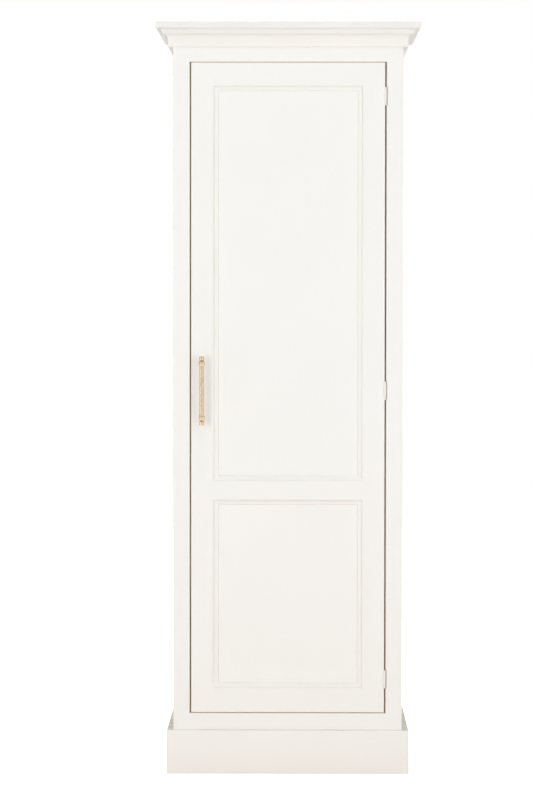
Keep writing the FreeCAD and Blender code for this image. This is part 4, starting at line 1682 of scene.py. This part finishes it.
@dataclass
class HangingRail(Assembly):
    """Chromed tube in two round sockets."""

    body: Body = Body.CARCASS
    tube_radius: float = 12.5 * MM
    tube_wall: float = 1.5 * MM
    flange_radius: float = 26.0 * MM
    flange_thickness: float = 3.0 * MM
    flange_round: float = 1.2 * MM
    cup_radius: float = 16.0 * MM
    cup_depth: float = 14.0 * MM
    cup_round: float = 0.8 * MM
    cup_fillet: float = 1.5 * MM
    bore_radius: float = 12.6 * MM
    sink_radius: float = 3.25 * MM
    shank_radius: float = 1.5 * MM
    sink_depth: float = 1.8 * MM
    facets: int = 72
    curve_steps: int = 6

    def tube(self) -> Solid:
        """Open tube between the sockets.

        Returns:
            The shape in its place.
        """
        low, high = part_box("hanging_rail")
        inner = self.tube_radius - self.tube_wall
        length = high.x - low.x
        ring = [(inner, 0), (self.tube_radius, 0), (self.tube_radius, length), (inner, length)]
        start = Vector((low.x, (low.y + high.y) / 2, (low.z + high.z) / 2))
        return Solid.turned(ring, self.facets, closed=True).put(facing(start, ACROSS))

    def socket(self, node: str, inward: Vector, screws: list[list[Vector]]) -> Solid:
        """Cup on a round flange, with a countersunk hole for each screw.

        Args:
            node: CAD node of the socket.
            inward: Direction into the wardrobe.
            screws: Points of the screws that hold the sockets.

        Returns:
            The shape in its place.
        """
        low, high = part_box(node)
        seat = (low + high) / 2
        seat.x = low.x if inward.x > 0 else high.x
        top = self.flange_thickness
        rim = bend(
            (self.flange_radius, top - self.flange_round),
            (self.flange_radius, top),
            (self.flange_radius - self.flange_round, top),
            self.curve_steps,
        )
        root = bend(
            (self.cup_radius + self.cup_fillet, top),
            (self.cup_radius, top),
            (self.cup_radius, top + self.cup_fillet),
            self.curve_steps,
        )
        mouth = bend(
            (self.cup_radius, self.cup_depth - self.cup_round),
            (self.cup_radius, self.cup_depth),
            (self.cup_radius - self.cup_round, self.cup_depth),
            self.curve_steps,
        )
        profile = [
            (0, 0),
            (self.flange_radius, 0),
            *rim,
            *root,
            *mouth,
            (self.bore_radius, self.cup_depth),
            (self.bore_radius, top),
            (0, top),
        ]
        socket = Solid.turned(profile, self.facets).put(facing(seat, inward))
        sink = [
            (0, -top - CUT_OVERRUN),
            (self.shank_radius, -top - CUT_OVERRUN),
            (self.shank_radius, -self.sink_depth),
            (self.sink_radius, 0),
            (self.sink_radius, CUT_OVERRUN),
            (0, CUT_OVERRUN),
        ]
        for points in screws:
            corner_low, corner_high = corners_of(points)
            middle = (corner_low + corner_high) / 2
            if middle.x * seat.x > 0:
                head = Vector((seat.x + inward.x * top, middle.y, middle.z))
                socket.work(Solid.turned(sink, self.facets // 2).put(facing(head, inward)), Joining.CUT)
        return socket

    def build(self) -> Pieces:
        """Models the tube and both sockets.

        Returns:
            The three pieces.
        """
        pieces = [self.add_piece("hanging_rail_tube", self.tube(), [CHROME], ["hanging_rail"])]
        screws = loose_parts("rail_screws")
        for end, inward in (("left", ACROSS), ("right", -ACROSS)):
            node = "rail_socket_" + end
            socket = self.socket(node, inward, screws)
            pieces.append(self.add_piece(f"rail_socket_cup_{end}", socket, [CHROME], [node]))
        return pieces


@dataclass
class MagneticCatch(Assembly):
    """Moulded catch case with a magnet between two pole plates."""

    body: Body = Body.CARCASS
    case_round: float = 1.2 * MM
    case_steps: int = 3
    plate_thickness: float = 1.6 * MM
    plate_edge: float = 0.25 * MM
    plate_edge_steps: int = 2
    magnet_setback: float = 0.6 * MM
    pocket_room: float = 0.05 * MM
    sink_radius: float = 3.25 * MM
    shank_radius: float = 1.55 * MM
    sink_depth: float = 1.8 * MM
    facets: int = 28

    def case(self) -> Solid:
        """Case with its pocket and two countersunk holes.

        Returns:
            The shape in its place.
        """
        low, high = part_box("catch_case")
        case = Solid.slab(low, high).ease_all(self.case_round, self.case_steps)
        pocket_low, pocket_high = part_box("catch_magnet")
        room = Vector((self.pocket_room,) * 3)
        front = DEEP * self.case_round
        case.work(Solid.slab(pocket_low - room - front, pocket_high + room), Joining.CUT)
        for points in loose_parts("inside_screws"):
            corner_low, corner_high = corners_of(points)
            middle = (corner_low + corner_high) / 2
            if not (low.x < middle.x < high.x and low.y < middle.y < high.y):
                continue
            head = Vector((middle.x, middle.y, low.z))
            reach = high.z - low.z + CUT_OVERRUN
            sink = [
                (0, -CUT_OVERRUN),
                (self.sink_radius, -CUT_OVERRUN),
                (self.sink_radius, 0),
                (self.shank_radius, self.sink_depth),
                (self.shank_radius, reach),
                (0, reach),
            ]
            case.work(Solid.turned(sink, self.facets).put(facing(head, RISE)), Joining.CUT)
        return case

    def magnet(self) -> Solid:
        """Magnet block behind two steel pole plates.

        Returns:
            The shape in its place; its block has the second finish.
        """
        low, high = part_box("catch_magnet")
        rise = RISE * self.plate_thickness
        lower = Solid.slab(low, Vector((high.x, high.y, low.z + self.plate_thickness)))
        upper = Solid.slab(Vector((low.x, low.y, high.z - self.plate_thickness)), high)
        inset = Vector((self.magnet_setback, self.magnet_setback, 0))
        block = Solid.slab(low + inset + rise, high - Vector((self.magnet_setback, 0, 0)) - rise)
        for face in block.mesh.faces:
            face.material_index = 1
        for plate in (lower, upper):
            plate.ease_all(self.plate_edge, self.plate_edge_steps)
        return lower.join(upper).join(block)

    def build(self) -> Pieces:
        """Models the case and the magnet.

        Returns:
            The two pieces.
        """
        case = self.add_piece("catch_case_moulded", self.case(), [CATCH_PLASTIC], ["catch_case"])
        magnet = self.add_piece("catch_magnet_plates", self.magnet(), [ZINC, CATCH_FERRITE], ["catch_magnet"])
        return [case, magnet]


@dataclass
class StrikePlate(Assembly):
    """Steel plate on the door that the catch holds."""

    body: Body = Body.DOOR
    corner_round: float = 2.5 * MM
    corner_steps: int = 6
    edge: float = 0.25 * MM
    edge_steps: int = 2
    sink_radius: float = 3.25 * MM
    sink_depth: float = 1.8 * MM
    facets: int = 28

    def build(self) -> Pieces:
        """Models the plate.

        Returns:
            The piece.
        """
        low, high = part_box("catch_strike")

        def is_corner(edge: Edge) -> bool:
            """Whether an edge crosses the plate's thickness."""
            return abs(edge.verts[0].co.y - edge.verts[1].co.y) > self.edge

        def is_face_rim(edge: Edge) -> bool:
            """Whether an edge lies round the free face."""
            return all(vert.co.y > high.y - NEAR for vert in edge.verts)

        plate = Solid.slab(low, high).ease(self.corner_round, self.corner_steps, is_corner)
        plate.ease(self.edge, self.edge_steps, is_face_rim)
        middle = (low + high) / 2
        head = Vector((middle.x, high.y, middle.z))
        thickness = high.y - low.y
        taper = self.sink_radius * (1 - thickness / self.sink_depth / 2)
        reach = thickness + CUT_OVERRUN
        sink = [
            (0, -CUT_OVERRUN),
            (self.sink_radius, -CUT_OVERRUN),
            (self.sink_radius, 0),
            (taper, reach),
            (0, reach),
        ]
        plate.work(Solid.turned(sink, self.facets).put(facing(head, -DEEP)), Joining.CUT)
        return [self.add_piece("catch_strike_plate", plate, [ZINC], ["catch_strike"])]


WARM_WHITE: Colour = (1.0, 0.93, 0.89)
DOOR_AIM: Place = (0.0, -0.25, 1.2)
HANDLE_AIM: Place = (-0.24, -0.25, 1.1)
CROWN_AIM: Place = (0.0, -0.25, 1.5)
SIDE_AIM: Place = (0.0, 0.2, 1.0)
TOP_AIM: Place = (0.0, 0.2, 2.1)
BACK_AIM: Place = (0.0, 0.3, 1.1)


@dataclass(frozen=True)
class Lamp:
    """One soft box; it can be kept out of reflections, or light reflections only."""

    name: str
    place: Place
    aim: Place
    size: Point
    power: float
    colour: Colour = WHITE
    mirrored: bool = True
    spread: bool = True

    def build(self) -> None:
        """Hangs the lamp."""
        data = bpy.data.lights.new(self.name, "AREA")
        data.shape = "RECTANGLE"
        data.size, data.size_y = self.size
        data.energy = self.power
        data.color = self.colour
        lamp = bpy.data.objects.new(self.name, data)
        lamp.location = self.place
        lamp.rotation_euler = (Vector(self.aim) - Vector(self.place)).to_track_quat("-Z", "Y").to_euler()
        lamp.visible_camera = False
        lamp.visible_glossy = self.mirrored
        lamp.visible_diffuse = self.spread
        bpy.context.scene.collection.objects.link(lamp)


@dataclass
class Studio:
    """Pale floor, white surround, soft boxes and the camera."""

    floor_half: float = 9.0
    floor_near: Colour = (0.71, 0.63, 0.56)
    floor_far: Colour = (0.72, 0.72, 0.71)
    floor_lift: float = 0.82
    lift_near: float = 0.4
    lift_far: float = 2.2
    speckle_scale: float = 60.0
    speckle_range: Range = (0.3, 0.7)
    speckle: float = 0.05
    surround_level: float = 0.285
    surround_front: float = 0.27
    surround_rise: float = 0.06
    surround_least: float = 0.15
    camera_place: Place = (0.0334, -9.2, 1.3674)
    camera_yaw: float = -0.601
    camera_pitch: float = -1.968
    camera_roll: float = 0.049
    camera_lens: float = 142.75
    camera_sensor: float = 36.0
    camera_far: float = 100.0
    lamps: tuple[Lamp, ...] = (
        Lamp("soft_box_front", (0.03, -7.0, 1.4), DOOR_AIM, (1.0, 1.0), power=46.0, mirrored=False),
        Lamp("soft_box_left", (-1.98, -3.3, 1.4), DOOR_AIM, (0.14, 1.6), power=24.5, mirrored=False),
        Lamp("soft_box_right", (1.85, -3.3, 1.4), DOOR_AIM, (0.14, 1.6), power=22.5, mirrored=False),
        Lamp("strip_left", (-3.3, -2.0, 1.3), HANDLE_AIM, (0.4, 1.8), power=8.0, spread=False),
        Lamp("strip_right", (2.8, -2.0, 1.3), HANDLE_AIM, (0.4, 1.8), power=8.0, spread=False),
        Lamp("soft_box_high", (0.0, -3.2, 4.1), CROWN_AIM, (1.2, 1.4), power=17.0, colour=WARM_WHITE),
        Lamp("soft_box_side_left", (-3.4, 0.7, 3.4), SIDE_AIM, (1.2, 1.2), power=42.0, mirrored=False),
        Lamp("soft_box_side_right", (3.4, 0.7, 3.4), SIDE_AIM, (1.2, 1.2), power=42.0, mirrored=False),
        Lamp("soft_box_top", (0.0, 0.2, 3.4), TOP_AIM, (0.8, 0.8), power=6.0, mirrored=False),
        Lamp("soft_box_back_left", (-1.3, 3.8, 1.6), BACK_AIM, (1.2, 1.8), power=42.0, mirrored=False),
        Lamp("soft_box_back_right", (1.3, 3.8, 1.6), BACK_AIM, (1.2, 1.8), power=42.0, mirrored=False),
    )

    @staticmethod
    def seen_directly(sheet: NodeSheet) -> Socket:
        """Whether a ray comes from the camera, a mirror or a glass.

        Args:
            sheet: The nodes to add to.

        Returns:
            1 for such a ray and 0 for any other.
        """
        path = sheet.add("ShaderNodeLightPath")
        seen = sheet.maths("MAXIMUM", path.outputs["Is Camera Ray"], path.outputs["Is Glossy Ray"])
        return sheet.maths("MAXIMUM", seen, path.outputs["Is Transmission Ray"])

    def build_world(self) -> None:
        """Makes a white surround that lights the wardrobe at a plain level, and most from the front."""
        world = bpy.data.worlds.new("white_surround")
        world.use_nodes = True
        bpy.context.scene.world = world
        sheet = NodeSheet(world.node_tree)
        heading = sheet.add("ShaderNodeTexCoord").outputs["Generated"]
        ways = sheet.add("ShaderNodeSeparateXYZ", {"Vector": heading}).outputs
        slope = sheet.weigh([(ways["Y"], -self.surround_front), (ways["Z"], self.surround_rise)])
        level = sheet.maths("MAXIMUM", sheet.maths("ADD", slope, self.surround_level), self.surround_least)
        light = sheet.add("ShaderNodeBackground", {"Color": WHITE, "Strength": level})
        white = sheet.add("ShaderNodeBackground", {"Color": WHITE, "Strength": 1.0})
        inputs = {0: self.seen_directly(sheet), 1: light.outputs[0], 2: white.outputs[0]}
        mixed = sheet.add("ShaderNodeMixShader", inputs)
        sheet.add("ShaderNodeOutputWorld", {"Surface": mixed.outputs[0]})

    def build_floor(self) -> None:
        """Lays a pale floor that keeps the wardrobe's shadow and fades to white away from it."""
        mesh = bmesh.new()
        bmesh.ops.create_grid(mesh, x_segments=2, y_segments=2, size=self.floor_half)
        data = bpy.data.meshes.new("pale_floor")
        mesh.to_mesh(data)
        mesh.free()
        floor = bpy.data.objects.new("pale_floor", data)
        bpy.context.scene.collection.objects.link(floor)
        material = bpy.data.materials.new("pale_floor")
        material.use_nodes = True
        sheet = NodeSheet(material.node_tree)
        place = sheet.add("ShaderNodeTexCoord").outputs["Object"]
        distance = sheet.add("ShaderNodeVectorMath", {0: place}, operation="LENGTH").outputs["Value"]
        grit = sheet.noise(place, self.speckle_scale, detail=4.0)
        speckle = sheet.span(grit, *self.speckle_range, -self.speckle, self.speckle)
        spread = sheet.maths("ADD", sheet.span(distance, self.lift_near, self.lift_far), speckle)
        colour = sheet.blend(spread, self.floor_near, self.floor_far)
        paper = sheet.add("ShaderNodeBsdfDiffuse", {"Color": colour})
        lift = sheet.span(distance, self.lift_near, self.lift_far, self.floor_lift, 1.0)
        strength = sheet.maths("MULTIPLY", lift, self.seen_directly(sheet))
        glow = sheet.add("ShaderNodeEmission", {"Color": WHITE, "Strength": strength})
        both = sheet.add("ShaderNodeAddShader", {0: paper.outputs[0], 1: glow.outputs[0]})
        sheet.add("ShaderNodeOutputMaterial", {"Surface": both.outputs[0]})
        data.materials.append(material)

    def build_camera(self) -> None:
        """Sets up the camera at the photograph's view."""
        data = bpy.data.cameras.new("front_camera")
        data.lens = self.camera_lens
        data.sensor_width = self.camera_sensor
        data.clip_end = self.camera_far
        camera = bpy.data.objects.new("front_camera", data)
        level = Matrix.Rotation(math.radians(90 + self.camera_pitch), 4, "X")
        heading = Matrix.Rotation(math.radians(-self.camera_yaw), 4, "Z")
        roll = Matrix.Rotation(math.radians(self.camera_roll), 4, "Z")
        camera.matrix_world = Matrix.Translation(self.camera_place) @ heading @ level @ roll
        bpy.context.scene.collection.objects.link(camera)
        bpy.context.scene.camera = camera

    def build(self) -> None:
        """Sets up the surround, the floor, the lamps and the camera."""
        bpy.context.scene.view_settings.view_transform = "Standard"
        self.build_world()
        self.build_floor()
        for lamp in self.lamps:
            lamp.build()
        self.build_camera()


def main() -> None:
    """Builds and dresses every sub-assembly in order, then the studio."""
    logging.basicConfig(level=logging.INFO, format="%(name)s: %(message)s")
    rack = FinishRack()
    carcass_screws = (
        "hinge_frame_screws",
        "back_screws",
        "inside_screws",
        "rail_screws",
        "crown_screws",
        "plinth_screws",
    )
    assemblies: list[Assembly] = [
        Carcass(rack),
        FaceFrame(rack),
        Crown(rack),
        Plinth(rack),
        HatShelf(rack),
        HangingRail(rack),
        MagneticCatch(rack),
        PanelledDoor(rack),
        ButtHinges(rack),
        BarHandle(rack),
        HandleBolts(rack),
        StrikePlate(rack),
        Fasteners(rack, nodes=carcass_screws),
        Fasteners(rack, Body.DOOR, nodes=("hinge_door_screws", "strike_screw")),
    ]
    for assembly in assemblies:
        for piece in assembly.build():
            LOG.info("%s built %s, %d faces", type(assembly).__name__, piece.name, len(piece.data.polygons))
        for node in assembly.dress():
            LOG.info("%s dressed %s", type(assembly).__name__, node.name)
    Studio().build()


if __name__ == "__main__":
    main()
